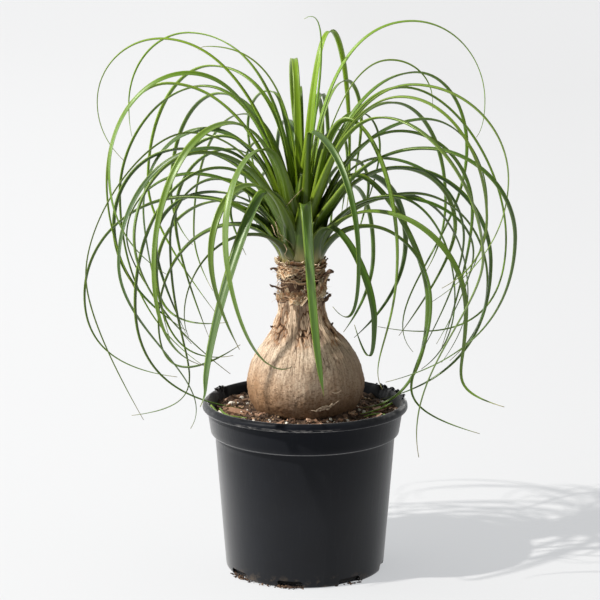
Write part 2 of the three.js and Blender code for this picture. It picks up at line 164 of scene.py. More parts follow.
GRAIN_END = 0.16  # share of a half turn left off at each end of a grain
GRAIN_BUMP = 0.22


def skin(points, loop=False):
    """Faces over points[copy, row, column], whose columns close on themselves and go anticlockwise about the
    way the rows go. The ends are capped, or with loop the last row joins the first."""
    index = np.arange(math.prod(points.shape[:3])).reshape(points.shape[:3])
    right = np.roll(index, -1, axis=2)
    quads = np.stack([index, right, np.roll(right, -1, axis=1), np.roll(index, -1, axis=1)], axis=-1)
    if loop:
        return [quads.reshape(-1, 4)]
    return [quads[:, :-1].reshape(-1, 4), index[:, 0, ::-1], index[:, -1]]


def placed(name, data):
    """An object of that data, linked into the scene."""
    made = bpy.data.objects.new(name, data)
    bpy.context.scene.collection.objects.link(made)
    return made


def shell(name, points, loop=False):
    """An object of points in mm under their skin."""
    mesh = bpy.data.meshes.new(name)
    faces = [face for block in skin(points, loop) for face in block.tolist()]
    mesh.from_pydata((points.reshape(-1, 3) * MM).tolist(), [], faces)
    return placed(name, mesh)


def piece(name, points, finish, slot, nodes=(), loop=False, crease=None, **fields):
    """A piece of the object that rides on the body: points in mm as skin takes them, and any fields as float
    attributes of its points. crease is the angle in degrees past which an edge stays sharp."""
    made = shell(name, points, loop)
    mesh = made.data
    for field, values in fields.items():
        shared = np.broadcast_to(values, points.shape[:-1]).astype(np.float32)
        mesh.attributes.new(field, "FLOAT", "POINT").data.foreach_set("value", shared.ravel())
    mesh.polygons.foreach_set("use_smooth", np.ones(len(mesh.polygons), bool))
    if crease:
        mesh.set_sharp_from_angle(angle=math.radians(crease))
    mesh.materials.append(finish)
    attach(made, BODY)
    if nodes:
        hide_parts(*nodes)
    return made


def grains(places, sizes, angles, tilt, seed, rows, columns, flat=0.0):
    """Lumpy grains: a sphere's rings scaled to each grain's length, width and thickness, each point moved
    in or out by its own draw, then tilted about X and Y by about tilt at most and turned about Z by its
    angle. flat squares the section off, as on a chip."""
    random = np.random.default_rng(seed)
    count = len(places)
    down = np.linspace(GRAIN_END, 1 - GRAIN_END, rows)[:, None] * np.pi
    about = full_turn(columns)
    ball = np.stack(np.broadcast_arrays(
        -np.cos(down), np.sin(down) * np.cos(about), np.sin(down) * np.sin(about)), axis=-1)
    ball = np.sign(ball) * np.abs(ball) ** (1 - 0.5 * flat)
    bumps = 1 + random.uniform(-GRAIN_BUMP, GRAIN_BUMP, (count, rows, columns, 1))
    shapes = ball * bumps * sizes[:, None, None, :] / 2
    lean = random.uniform(-tilt, tilt, (count, 1, 1, 1))
    turns = [lean * 1.4, np.roll(lean, 1, axis=0), angles[:, None, None, None]]
    for axis, turn in zip(np.eye(3), turns):
        shapes = turn_about(shapes, axis, turn)
    return shapes + places[:, None, None, :]


def grain_sizes(random, count, low, high, slim, form=(1, 1, 1)):
    """Each grain's own size from low to high, then each of its sides from the share slim of it to all of it,
    by the form that the grains have in common."""
    return random.uniform(low, high, (count, 1)) * random.uniform(slim, 1, (count, 3)) * form


def threads(lines, radius, columns=5):
    """Tubes round lines[copy, row], a radius thick at each row: rings in the plane across each line."""
    ahead = unit(np.gradient(lines, axis=1))
    helper = np.where(np.abs(ahead[..., 2:]) > 0.8, [1.0, 0, 0], UP)
    side = unit(np.cross(ahead, helper))
    other = np.cross(ahead, side)
    angle = full_turn(columns)[:, None]
    thick = np.broadcast_to(radius, lines.shape[:2])[..., None, None]
    ring = side[:, :, None] * np.cos(angle) + other[:, :, None] * np.sin(angle)
    return lines[:, :, None] + ring * thick


# Materials

class Tone:
    """A shader value: arithmetic on it adds Math nodes to its material."""

    def __init__(self, finish, socket):
        self.finish = finish
        self.socket = socket

    def maths(self, operation, *values):
        return self.finish.node("ShaderNodeMath", {"operation": operation}, dict(enumerate(values)))

    def __add__(self, other):
        return self.maths("ADD", self, other)

    def __sub__(self, other):
        return self.maths("SUBTRACT", self, other)

    def __rsub__(self, other):
        return self.maths("SUBTRACT", other, self)

    def __mul__(self, other):
        return self.maths("MULTIPLY", self, other)

    def __truediv__(self, other):
        return self.maths("DIVIDE", self, other)

    def __pow__(self, other):
        return self.maths("POWER", self, other)

    __radd__ = __add__
    __rmul__ = __mul__


class Finish:
    """A material, or a world, in the making: each method adds nodes and returns a Tone."""

    def __init__(self, name, kind=bpy.data.materials):
        self.made = kind.new(name)
        self.made.use_nodes = True
        self.tree = self.made.node_tree
        self.tree.nodes.clear()
        self.place = self.node("ShaderNodeTexCoord", output="Object")

    def node(self, kind, settings=None, inputs=None, output=0):
        """A node of that kind, its settings made first, then its sockets' values or links."""
        made = self.tree.nodes.new(kind)
        for key, value in (settings or {}).items():
            if key == "stops":
                self.set_stops(made.color_ramp, value)
            else:
                setattr(made, key, value)
        for key, value in (inputs or {}).items():
            if isinstance(value, Tone):
                self.tree.links.new(value.socket, made.inputs[key])
            else:
                made.inputs[key].default_value = value
        return Tone(self, made.outputs[output]) if len(made.outputs) else made

    def set_stops(self, ramp, stops):
        while len(ramp.elements) < len(stops):
            ramp.elements.new(1)
        for element, (place, colour) in zip(ramp.elements, stops):
            element.position = place
            element.color = (*colour, 1)

    def field(self, name):
        return self.node("ShaderNodeAttribute", {"attribute_name": name}, output="Fac")

    def axis(self, number):
        """The place along an axis, in mm."""
        return self.node("ShaderNodeSeparateXYZ", inputs={0: self.place}, output=number) / MM

    def noise(self, spot, detail):
        return self.node("ShaderNodeTexNoise", inputs={"Vector": spot, "Scale": 1.0, "Detail": detail})

    def cloud(self, size, stretch=(1, 1, 1), detail=3.0, place=None):
        """Noise of a size in mm, longer along an axis by its stretch."""
        scale = tuple(1 / (MM * size * s) for s in stretch)
        inputs = {0: place or self.place, 1: scale}
        return self.noise(self.node("ShaderNodeVectorMath", {"operation": "MULTIPLY"}, inputs), detail)

    def band(self, value, low, high):
        """0 below low and 1 above high, smooth between. With high the smaller it runs from 1 down to 0."""
        return self.node("ShaderNodeMapRange", {"interpolation_type": "SMOOTHSTEP"},
                         {"Value": value, "From Min": low, "From Max": high})

    def colours(self, share, *stops):
        """A ramp through colours, evenly spaced."""
        gap = 1 / (len(stops) - 1)
        spaced = [(i * gap, colour) for i, colour in enumerate(stops)]
        return self.node("ShaderNodeValToRGB", {"stops": spaced}, {0: share})

    def mix(self, share, low, high):
        """low, and high over it by a share: colours, or RGB values."""
        low, high = ((*c, 1) if isinstance(c, tuple) else c for c in (low, high))
        return self.node("ShaderNodeMix", {"data_type": "RGBA"}, {0: share, 6: low, 7: high}, 2)

    def coats(self, base, *coats):
        """base under coats, each a share and a colour, the last on top."""
        for share, colour in coats:
            base = self.mix(share, base, colour)
        return base

    def done(self, colour, roughness, relief=None, depth=0.2, **numbers):
        """The finished material. relief is a height from 0 to 1, and depth its size in mm."""
        inputs = {"Base Color": colour, "Roughness": roughness}
        inputs.update({name.replace("_", " "): value for name, value in numbers.items()})
        if relief:
            bump = {"Height": relief, "Strength": 1.0, "Distance": depth * MM}
            inputs["Normal"] = self.node("ShaderNodeBump", inputs=bump)
        shader = self.node("ShaderNodeBsdfPrincipled", inputs=inputs)
        self.node("ShaderNodeOutputMaterial", inputs={"Surface": shader})
        return self.made


# The pot, from the same sizes as the model

POT = {"radius": 85, "height": 142, "base": 66, "wall": 1.4, "floor": 2, "lip": 6.6, "band": 27.1,
       "shoulder": 74.6, "lip_inside": 79.6}
LIP_FOOT = POT["height"] - POT["lip"]
BAND_FOOT = POT["height"] - POT["band"]
BAND_RADIUS = (78, 81)
NOTCHES = {"count": 8, "wide": 21, "tall": 6, "deep": 5, "first": 214}
LIP_BUMPS = (152, 32)
SCRAPS = 46
SCRAP_ANGLES = (152, 152, 10, 22, 33)
POT_SIDES = 288
POT_CREASE = 38
WALL_STEP = 6


def black_plastic():
    """Satin moulded plastic: cloudy sheen, upright rub marks, broken worn streaks at the foot of the lip, a
    faint painted highlight along the foot of the band that fades to the right, and potting dust near the
    foot."""
    f = Finish("black_plastic")
    across, away, height = (f.axis(number) for number in range(3))
    clouds = f.cloud(34)
    rubs = f.cloud(2.2, (1, 1, 14))
    fine = f.cloud(0.9)
    grit = f.band(f.cloud(3), 0.5, 0.75)
    front = f.band(across, -66, -46) * f.band(across, 34, 14) * f.band(away, 0, -20)
    streak = f.band(height, LIP_FOOT - 0.4, LIP_FOOT + 0.4) * f.band(height, LIP_FOOT + 3, LIP_FOOT + 0.8)
    worn = front * streak * f.band(f.cloud(5, (1, 1, 0.2)), 0.42, 0.62)
    dust = f.band(height, 13, 1) * f.band(f.cloud(6) + fine * 0.3, 0.66, 0.86)
    # painted highlight: a thin pale line where the band's foot catches the light, fading to the right
    painted_highlight_under_band = (f.band(height, BAND_FOOT - 1.3, BAND_FOOT - 0.3)
                  * f.band(height, BAND_FOOT + 1.5, BAND_FOOT + 0.3) * f.band(across, 60, -10))
    base = f.coats(
        f.mix(clouds, (0.0008, 0.0013, 0.0030), (0.0034, 0.0048, 0.0084)),
        (f.band(rubs, 0.55, 0.8) * 0.3, (0.012, 0.013, 0.016)),
        (dust * 0.8, (0.075, 0.055, 0.038)),
        (worn * 0.75, (0.24, 0.23, 0.22)),
        # the painted highlight under the band
        (painted_highlight_under_band * 0.06, (0.11, 0.12, 0.13)))
    shine = 0.33 + clouds * 0.12 + rubs * 0.10 + dust * 0.3 + worn * 0.1
    polish = 0.34 - 0.16 * f.band(height, 50, 112) - 0.12 * f.band(height, 115, 119)
    relief = clouds * 0.5 + rubs * 0.22 + fine * 0.16 + grit * 0.02
    return f.done(base, shine, relief, 0.35, Specular_IOR_Level=0.04, Coat_Weight=polish,
                  Coat_Roughness=0.42, Sheen_Weight=0.62, Sheen_Roughness=0.38)


def rim_scraps(finish):
    """Crumpled shreds of plastic left on the lip where it is dented."""
    random = np.random.default_rng(61)
    dent = np.resize(SCRAP_ANGLES, SCRAPS)
    angle = np.radians(dent + random.normal(0, 3.2, SCRAPS))
    sizes = grain_sizes(random, SCRAPS, 1.6, 4.6, 0.5, (1.4, 0.8, 0.7))
    places = polar(random.uniform(80.6, 84, SCRAPS), angle, POT["height"] - 0.4 + 0.2 * sizes[:, 2])
    scraps = grains(places, sizes, angle + 1.6, tilt=0.6, seed=9, rows=4, columns=7)
    piece("rim_scraps", scraps, finish, "pot_plastic")


def pot_profile():
    """The pot's section as [radius, height], from the middle of its underside round to its inner floor."""
    base, wall, top, lip, shoulder = (POT[key] for key in ("base", "wall", "height", "radius", "shoulder"))
    inner, (narrow, wide) = POT["lip_inside"], BAND_RADIUS
    underside = [[0, 1.2], [30, 1.2], [33, 0], [base - 2.2, 0], [base - 0.6, 0.8], [base, 3]]
    outside = [[shoulder, BAND_FOOT - 0.8], [narrow, BAND_FOOT + 0.4], [wide, LIP_FOOT]]
    rolled = [[lip - 0.8, LIP_FOOT], [lip, LIP_FOOT + 1.4], [lip - 0.5, top - 2.2], [lip - 2.6, top - 0.2],
              [inner + 1.3, top], [inner, top - 2.4]]
    inside = [[narrow - wall, BAND_FOOT + 1], [shoulder - wall - 0.2, BAND_FOOT - 0.2],
              [base - wall - 0.3, POT["floor"]], [0, POT["floor"]]]
    return spread(rounded([*underside, *outside, *rolled, *inside], 1.1), WALL_STEP)


def notch_cutter():
    """Boxes across the foot of the wall, one for each drain notch, with their upper corners eased."""
    half, tall, eased = NOTCHES["wide"] / 2, NOTCHES["tall"], 1.5
    outline = np.array([[-half, -tall], [half, -tall], [half, tall - eased], [half - eased, tall],
                        [eased - half, tall], [-half, tall - eased]])
    depths = np.array([POT["base"] - NOTCHES["deep"], POT["base"] + 2 * NOTCHES["deep"]])
    angle = np.radians(NOTCHES["first"] + np.arange(NOTCHES["count"]) * 360 / NOTCHES["count"])
    out = polar(1, angle, 0)[:, None, None]
    points = out * depths[:, None, None] + np.cross(UP, out) * outline[:, :1] + UP * outline[:, 1:]
    return shell("notches", points)


def nursery_pot():
    """The section turned about the axis. The lip is a little out of round and has two outward dents, and a
    slight waviness of the wall dies out towards the lip and the foot."""
    profile = pot_profile()
    radius, height = profile[1:-1, :1], profile[1:-1, 1:]
    angle = full_turn(POT_SIDES)
    plain = polar(radius, angle, height)
    near = np.cos(angle - np.radians(LIP_BUMPS)[:, None]).max(axis=0)
    dent = smooth(near, 0.994, 1) * smooth(height, LIP_FOOT - 1, LIP_FOOT + 1.6)
    crumple = rough(plain, 2.5) * 2.2 * smooth(near, 0.985, 1) * smooth(height, 134, 137)
    oval = 0.25 * np.cos(3 * angle + 1) * smooth(height, 120, 138)
    waves = rough(polar(60, angle, 0.5 * height), 30, 1)
    wave = 0.5 * waves * smooth(height, 8, 40) * smooth(height, 112, 90)
    nick = 0.35 * rough(plain, 4) * smooth(height, 136, 140)
    points = polar(radius + 1.4 * dent + crumple + oval + wave + nick, angle,
                   height - 0.5 * dent + 0.6 * nick)
    plastic = black_plastic()
    made = piece("nursery_pot_shell", points[None], plastic, "pot_plastic", ["nursery_pot"])
    rim_scraps(plastic)
    cutter = notch_cutter()
    cut = made.modifiers.new("drain_notches", "BOOLEAN")
    cut.operation = "DIFFERENCE"
    cut.solver = "EXACT"
    cut.object = cutter
    shaped = bpy.data.meshes.new_from_object(made.evaluated_get(bpy.context.evaluated_depsgraph_get()))
    made.modifiers.clear()
    made.data = shaped
    bpy.data.objects.remove(cutter)
    made.data.set_sharp_from_angle(angle=math.radians(POT_CREASE))


# The woody base and trunk

ROOT_STOCK = [[9, 84], [14, 92], [22, 104], [29.5, 117], [34.5, 130.5], [40.8, 135.5]]
BULB = [[42.7, 137], [46.9, 146], [48.5, 156], [47.7, 164.5], [43.7, 176.8], [36.9, 187.5], [30.6, 195],
        [26.4, 200.5], [22.8, 207], [20.4, 213], [19, 220], [18.4, 226.5], [15, 229], [14.8, 240],
        [14.6, 254], [13.8, 257]]
TRUNK_FOOT = 100
NECK_FOOT = 188
NECK_TOP = 257
NECK_X = -3
TRUNK_ROWS = 220
TRUNK_SIDES = 420
CRACK_DEPTH = 1.1
FAN_RADIUS = 20
ROOT_ROWS = 60
PLATES_ROUND = 26
PLATE_LEVELS = (180, 190, 197, 203, 210, 224, 242)


def lean(z):
    """How far the trunk's own line stands to the side of the pot's axis."""
    return NECK_X * smooth(z, 186, 214)


def trunk_radius(z):
    """The trunk's plain radius at a height, by the curve through its measured radii."""
    curve = curve_through(ROOT_STOCK + BULB, 400)
    return np.interp(z, curve[:, 1], curve[:, 0])


def old_bark():
    """Corky bark. fan_x and fan_y go round with the angle alone, so what follows them runs down from the neck
    and fans out over the belly: streaks, and fissures where a noise crosses its middle. Each plate of the
    neck has its own tint. The belly has dark specks, a warm tan side and painted shade on its right side,
    away from the key light. Low down towards the mix the bark is damp and darkened by painted shade."""
    f = Finish("old_bark")
    height = f.axis(2)
    fan = f.node("ShaderNodeCombineXYZ", inputs={0: f.field("fan_x"), 1: f.field("fan_y"), 2: height * MM})
    streaks = f.cloud(0.9, (1, 1, 20), 5.0, fan)
    fissures = f.cloud(1.7, (1, 1, 12), 3.0, fan)
    patches = f.cloud(15, (1, 1, 1.3), 4.0)
    middle = f.cloud(4.5, (1, 1, 1.2), 4.0)
    fine = f.cloud(1.5, (1, 1, 1.2), 4.0)
    crack, plate = f.field("crack"), f.field("plate")
    specks = f.band(f.cloud(1.9, (1.3, 1.3, 0.7), 3.0), 0.53, 0.63) * (1 - f.band(height, 150, 184) * 0.8)
    thin = fissures.maths("ABSOLUTE", fissures - 0.5)
    line = f.band(thin, 0.035, 0.006) * f.band(middle, 0.36, 0.52) * f.band(height, 160, 182)
    side = f.axis(0) + patches * 14
    tan = f.band(side, 2, -38) * f.band(height, 186, 150)
    # damp staining and painted shade, deepest low on the bulb where it turns under towards the mix
    damp_and_painted_shade = f.band(height + patches * 22 + specks * 5, 204, 142)
    own = f.mix(
        f.band(streaks, 0.60, 0.36) * 0.6,
        f.colours(plate, (0.17, 0.11, 0.075), (0.40, 0.275, 0.18), (0.60, 0.425, 0.285), (0.90, 0.70, 0.50)),
        (0.14, 0.085, 0.05))
    base = f.coats(
        f.colours(patches, (0.39, 0.26, 0.17), (0.63, 0.49, 0.355), (0.86, 0.73, 0.58)),
        (f.band(streaks, 0.62, 0.36) * 0.5, (0.27, 0.185, 0.125)),
        (f.band(middle, 0.52, 0.68) * 0.35, (0.72, 0.60, 0.45)),
        (tan * 0.75, (0.47, 0.245, 0.10)),
        # painted shade: the right side, away from the key light, made darker
        (f.band(side, 12, 46) * 0.62, (0.16, 0.11, 0.07)),
        (f.band(fine, 0.48, 0.66) * 0.5, (0.22, 0.145, 0.09)),
        (specks * 0.7, (0.11, 0.07, 0.042)),
        (f.band(height, NECK_FOOT, 200) * 0.8, own),
        # damp, and painted shade low on the bulb
        (damp_and_painted_shade * 0.87, (0.125, 0.060, 0.022)),
        (line * 0.78, (0.12, 0.072, 0.043)),
        (f.band(crack, 0.06, 0.42) * 0.6, (0.31, 0.145, 0.058)),
        (f.band(crack, 0.5, 1.0), (0.050, 0.024, 0.012)))
    relief = streaks * 0.25 + fine * 0.30 + middle * 0.15 - line * 0.4 - specks * 0.25
    return f.done(base, 0.76 + fine * 0.14, relief, 0.9, Specular_IOR_Level=0.25)


def root_finish():
    """Pale dry root skin."""
    f = Finish("dry_root")
    base = f.mix(f.cloud(2), (0.36, 0.25, 0.17), (0.66, 0.53, 0.38))
    return f.done(base, 0.8, f.cloud(0.6), 0.3)


def bark_plates(angle, z):
    """Plates of bark round the neck: the cells round the points of a jittered grid on the unrolled trunk,
    short at its foot and tall above. Returns how much farther the second nearest point is than the nearest,
    which is 0 on a crack, and each plate's own draw."""
    random = np.random.default_rng(5)
    levels = np.arange(len(PLATE_LEVELS))
    column, row = np.meshgrid(np.arange(PLATES_ROUND), levels)
    jitter_u, jitter_v = random.uniform(-0.46, 0.46, (2, *row.shape))
    spot = polar(FAN_RADIUS, angle, 0.3 * z)
    u = angle / (2 * np.pi) * PLATES_ROUND + 1.5 * rough(spot, 5, 4)
    v = np.interp(z, PLATE_LEVELS, levels) + 1.3 * rough(spot + 50, 4, 4)
    nearest = np.full(u.shape, 9.0)
    second, own = nearest, nearest
    middles = [(column + 0.5 * (row % 2) + jitter_u).ravel(), (row + jitter_v).ravel()]
    half = PLATES_ROUND / 2
    for at_u, at_v, tint in zip(*middles, draw(np.arange(row.size))):
        away = np.hypot((u - at_u + half) % PLATES_ROUND - half, v - at_v)
        closer = away < nearest
        second = np.where(closer, nearest, np.minimum(second, away))
        own = np.where(closer, tint, own)
        nearest = np.where(closer, away, nearest)
    return second - nearest, own


def caudex_trunk():
    """The curve through the measured radii turned about the leaning line, with broad furrows as on the model.
    The neck's plates stand a little in or out and curl at their edges, with narrow cracks between them."""
    belly_rows = TRUNK_ROWS // 2
    z = np.concatenate([np.linspace(TRUNK_FOOT, NECK_FOOT, belly_rows, endpoint=False),
                        np.linspace(NECK_FOOT, NECK_TOP, TRUNK_ROWS - belly_rows)])[:, None]
    angle = full_turn(TRUNK_SIDES)[None]
    radius = trunk_radius(z)
    depth = smooth(z, 140, 205) * smooth(z, 228, 219)
    furrow = (0.5 * np.sin(7 * angle + 0.8) + 0.3 * np.sin(4 * angle - 1.1)
              + 0.25 * np.sin(13 * angle + 0.02 * z))
    swell = smooth(z, 136, 145) * (0.4 * np.sin(3 * angle + 1.9) + 0.25 * np.sin(5 * angle))
    plain = polar(radius, angle, z)
    gap, own = bark_plates(angle, z)
    here = smooth(z, NECK_FOOT, 199) * smooth(z, 233, 228)
    patch = smooth(noise(plain * [1, 1, 0.7], 9), 0.25, 0.85)
    wide = 0.02 + 0.52 * patch * lerp(1, 0.6, smooth(z, 208, 214))
    crack = here * smooth(gap, wide, 0) * smooth(wide, 0.02, 0.14)
    curled = here * (own - 0.45) * (1.5 - 0.5 * smooth(z, 208, 216)) * smooth(gap, 0.05, 0.5)
    fan = polar(FAN_RADIUS, angle, 0 * z)
    grain = rough(polar(FAN_RADIUS, angle, 0.14 * z), 1.6)
    pits = rough(plain, 3) * 0.7 + rough(plain, 11, 2)
    offset = (depth * furrow + swell * (1 - depth) - CRACK_DEPTH * crack ** 2 + curled
              + (grain * lerp(0.25, 1.6, smooth(z, 176, 200)) + pits * (1 - 0.6 * here))
              * smooth(z, 128, 140))
    points = polar(radius + offset, angle, z, lean(z))
    piece("palm_trunk", points[None], old_bark(), "bark", ["caudex_trunk"],
          crack=crack[None], plate=own[None], fan_x=MM * fan[None, ..., 0], fan_y=MM * fan[None, ..., 1])


def belly_roots():
    """Thin dry roots that lie on the belly, knotted but for the second. The knots of their curves are an
    angle in degrees and a height."""
    knots = [[(276, 143.4), (283, 145.2), (290, 147.4), (297, 148), (303.5, 151.2)],
             [(294.5, 159.6), (297.5, 158.4), (300.5, 157.8), (303.5, 158.2), (306.5, 159.6)],
             [(281, 143.2), (286, 144.4), (290, 146), (293, 145.4), (297, 146.6)]]
    gnarl = np.array([1, 0.15, 1])[:, None]
    angle, height = np.moveaxis([curve_through(k, ROOT_ROWS) for k in knots], -1, 0)
    spot = np.stack([angle, height, 0 * angle], axis=-1)
    height = height + 2.2 * gnarl * rough(spot, 2.6)
    radius = trunk_radius(height) + 0.9 + 1.6 * gnarl * rough(spot + 30, 1.8, 2)
    ends = 1 - 0.7 * np.abs(np.linspace(-1, 1, ROOT_ROWS)) ** 3
    thick = (0.36 + 0.75 * gnarl * (0.5 + rough(spot + 60, 1.5, 2))) * ends
    roots = threads(polar(radius, np.radians(angle), height), thick, 6)
    piece("belly_roots", roots, root_finish(), "bark")


# The potting mix

SOIL_LEVEL = 131  # at the pot's wall
SOIL_BANK = 4.5  # how far it rises up to the bulb
SOIL_RADII = (40, 77.8)
SOIL_ROWS = 84
SOIL_SIDES = 300
CHIPS, PERLITE, CRUMBS, DRAIN_CRUMBS = 260, 90, 2600, 230
# The larger chips: angle in degrees, radius, length, width, thickness, and turn in degrees
BIG_CHIPS = np.array([
    (236, 66, 15, 7, 2.6, 8), (252, 69, 20, 6, 3.0, -12), (247, 60, 11, 6, 2.4, 30),
    (279, 70, 13, 4.5, 2.4, 20), (272, 73, 9, 4, 2.2, -8), (196, 58, 17, 7, 2.8, 5),
    (207, 68, 10, 5, 2.4, 40), (172, 66, 12, 6, 3, 60), (218, 56, 9, 5, 2, -30), (226, 72, 12, 5, 2.2, -38),
    (288, 62, 10, 5, 2.6, 10), (151, 60, 14, 6, 3, 20), (330, 66, 12, 4.4, 2.2, 35),
    (12, 62, 13, 6, 2.6, 80), (42, 62, 15, 6, 3, 120), (96, 60, 16, 7, 3, 0), (118, 68, 12, 6, 2.6, 30),
    (70, 70, 11, 5, 2.4, 160), (318, 72, 9, 4, 2, 50), (263, 62, 8, 4, 2, 70),
])
# The larger grains of perlite: angle in degrees, radius and size
BIG_PERLITE = np.array([
    (181, 70, 6), (192, 72, 4.6), (168, 62, 7), (222, 64, 4), (213, 60, 4.4), (262, 66, 5.4),
    (268, 74, 4.4), (276, 73, 4), (282, 74, 4.8), (243, 74, 3.6), (258, 72, 3.2), (300, 70, 3.2),
    (338, 70, 4), (20, 70, 4.6), (60, 60, 5), (110, 66, 4.6), (140, 70, 5.4),
])


def soil_height(x, y):
    """The level of the mix: lumps of several sizes over a surface that banks up to the bulb."""
    spot = np.stack([x, y, 0 * x], axis=-1)
    bank = SOIL_BANK * smooth(np.hypot(x, y), 66, 42)
    return SOIL_LEVEL + 0.8 + bank + 4.6 * rough(spot, 15, 2) + 3.6 * rough(spot + 40, 4.6, 3)


def potting_soil_finish():
    """Dark peat with lighter crumbs, and darker low down inside."""
    f = Finish("potting_mix")
    lumps = f.cloud(4.2, detail=5.0)
    fine = f.cloud(1.1, detail=4.0)
    base = f.coats(
        f.colours(lumps, (0.016, 0.009, 0.006), (0.055, 0.031, 0.018), (0.16, 0.095, 0.054)),
        (f.band(fine, 0.56, 0.74) * 0.5, (0.30, 0.19, 0.11)),
        (f.band(f.axis(2), 90, 20), (0.004, 0.003, 0.002)))
    return f.done(base, 0.92, lumps * 0.5 + fine * 0.5, 1.6)


def bark_chip_finish():
    """Broken bark: each chip its own red or brown, with grain along it and pale broken edges."""
    f = Finish("bark_chips")
    grain = f.cloud(1.6, (1, 2.2, 1), 4.0)
    base = f.coats(
        f.colours(f.field("shade"), (0.05, 0.028, 0.017), (0.17, 0.090, 0.050), (0.38, 0.215, 0.13),
                  (0.62, 0.41, 0.28)),
        (f.band(grain, 0.35, 0.75) * 0.4, (0.10, 0.05, 0.03)),
        (f.band(f.cloud(0.7), 0.58, 0.74) * 0.3, (0.48, 0.33, 0.22)))
    return f.done(base, 0.86, grain, 0.6)


def perlite_finish():
    """White puffed mineral, a little stained."""
    f = Finish("perlite")
    stain = f.band(f.cloud(3.5), 0.45, 0.75)
    base = f.mix(stain * 0.6, (0.74, 0.70, 0.62), (0.50, 0.38, 0.25))
    return f.done(base, 0.85, f.cloud(0.8), 0.5)


def crumb_finish():
    """Peat crumbs and fibres, from near black to tan."""
    f = Finish("crumbs")
    base = f.colours(f.field("shade"), (0.03, 0.017, 0.011), (0.10, 0.055, 0.03), (0.24, 0.14, 0.075),
                     (0.46, 0.32, 0.19))
    return f.done(base, 0.93, f.cloud(0.8), 0.5)


def on_soil(angle, radius, sink):
    """Points on the mix's surface at an angle in radians and a radius, lowered by sink."""
    x, y, _ = np.moveaxis(polar(radius, angle, 0), -1, 0)
    return np.stack([x, y, soil_height(x, y) - sink], axis=-1)


def strewn(random, count, near, far, large=np.zeros((0, 2))):
    """Angles in radians and radii of the large grains, then of count more at random between near and far."""
    return (np.concatenate([np.radians(large[:, 0]), random.uniform(0, 2 * np.pi, count)]),
            np.concatenate([large[:, 1], random.uniform(near, far, count)]))


def potting_mix():
    """The surface of the mix from the bulb out to the wall, closed below by a plain body."""
    angle = full_turn(SOIL_SIDES)[None]
    inner, outer = SOIL_RADII
    radius = np.linspace(outer, inner, SOIL_ROWS)[:, None]
    sides = [[61.5, 2.5], [62, 2.5], [72.5, 114.4], [75.8, 116.6], [77.2, 126]]
    pit = [[34.9, 130.5], [29.9, 117], [22.4, 104], [9.4, 83.6], [8, 83.6]]
    rings = [[polar(r, angle, z) for r, z in corners] for corners in (sides, pit)]
    points = np.concatenate([*rings[0], on_soil(angle, radius, 0), *rings[1]])
    piece("potting_mix", points[None], potting_soil_finish(), "soil", ["potting_soil"])


def strewn_mix():
    """Bark chips, perlite and crumbs over the mix."""
    random = np.random.default_rng(21)
    spot, away = strewn(random, CHIPS, 43, 76, BIG_CHIPS)
    length = random.uniform(3, 10, CHIPS)
    small = [length, length * random.uniform(0.3, 0.6, CHIPS), random.uniform(1, 2.2, CHIPS)]
    sizes = np.concatenate([BIG_CHIPS[:, 2:5], np.stack(small, axis=-1)])
    turns = np.concatenate([np.radians(BIG_CHIPS[:, 5]), random.uniform(0, np.pi, CHIPS)])
    shade = np.concatenate([np.linspace(0.62, 0.95, len(BIG_CHIPS)), random.random(CHIPS) ** 1.3])
    chips = grains(on_soil(spot, away, -0.5), sizes, turns, tilt=0.35, seed=3, rows=4, columns=8, flat=1.0)
    piece("bark_chips", chips, bark_chip_finish(), "soil", crease=30, shade=shade[:, None, None])

    spot, away = strewn(random, PERLITE, 43, 76, BIG_PERLITE)
    size = np.concatenate([BIG_PERLITE[:, 2], random.uniform(1.2, 3.2, PERLITE)])
    sizes = size[:, None] * random.uniform(0.8, 1.1, (len(size), 3))
    balls = grains(on_soil(spot, away, -0.12 * size), sizes, 3 * spot, tilt=1.5, seed=4, rows=5, columns=8)
    piece("perlite_grains", balls, perlite_finish(), "soil")

    spot, away = strewn(random, CRUMBS, 42, 77)
    sizes = grain_sizes(random, CRUMBS, 0.7, 3.0, 0.5)
    crumbs = grains(on_soil(spot, away, -0.2), sizes, 5 * spot, tilt=1.5, seed=6, rows=3, columns=5)
    shade = random.random(CRUMBS) ** 2.3
    piece("soil_crumbs", crumbs, crumb_finish(), "soil", shade=shade[:, None, None])


def drain_crumbs():
    """Crumbs that fell out of the drain notches and lie at the pot's foot."""
    random = np.random.default_rng(31)
    notch = random.choice([0, 0, 0, 0.15, 0.5, 0.8, 1, 1, 1, 2, 4, 6], DRAIN_CRUMBS)
    step = 360 / NOTCHES["count"]
    angle = np.radians(NOTCHES["first"] + notch * step + random.normal(0, 6, DRAIN_CRUMBS))
    sizes = grain_sizes(random, DRAIN_CRUMBS, 0.8, 3.4, 0.5, (1.3, 0.9, 0.7))
    away = POT["base"] - 3 + 5.5 * random.random(DRAIN_CRUMBS) ** 1.6
    places = polar(away, angle, 0.62 * sizes[:, 2])
    crumbs = grains(places, sizes, 7 * angle, tilt=0.4, seed=8, rows=3, columns=5)
    crumbs[..., 2] = np.maximum(crumbs[..., 2], 0.02)
    shade = 0.02 + 0.6 * random.random(DRAIN_CRUMBS) ** 3
    piece("drain_crumbs", crumbs, crumb_finish(), "soil", shade=shade[:, None, None])


# The leaves, by the model's own rule. Azimuth in degrees; crest, reach and tip as radius, height; the drop;
# then fan, full, flick, sweep, wide, taper and roll where they differ.

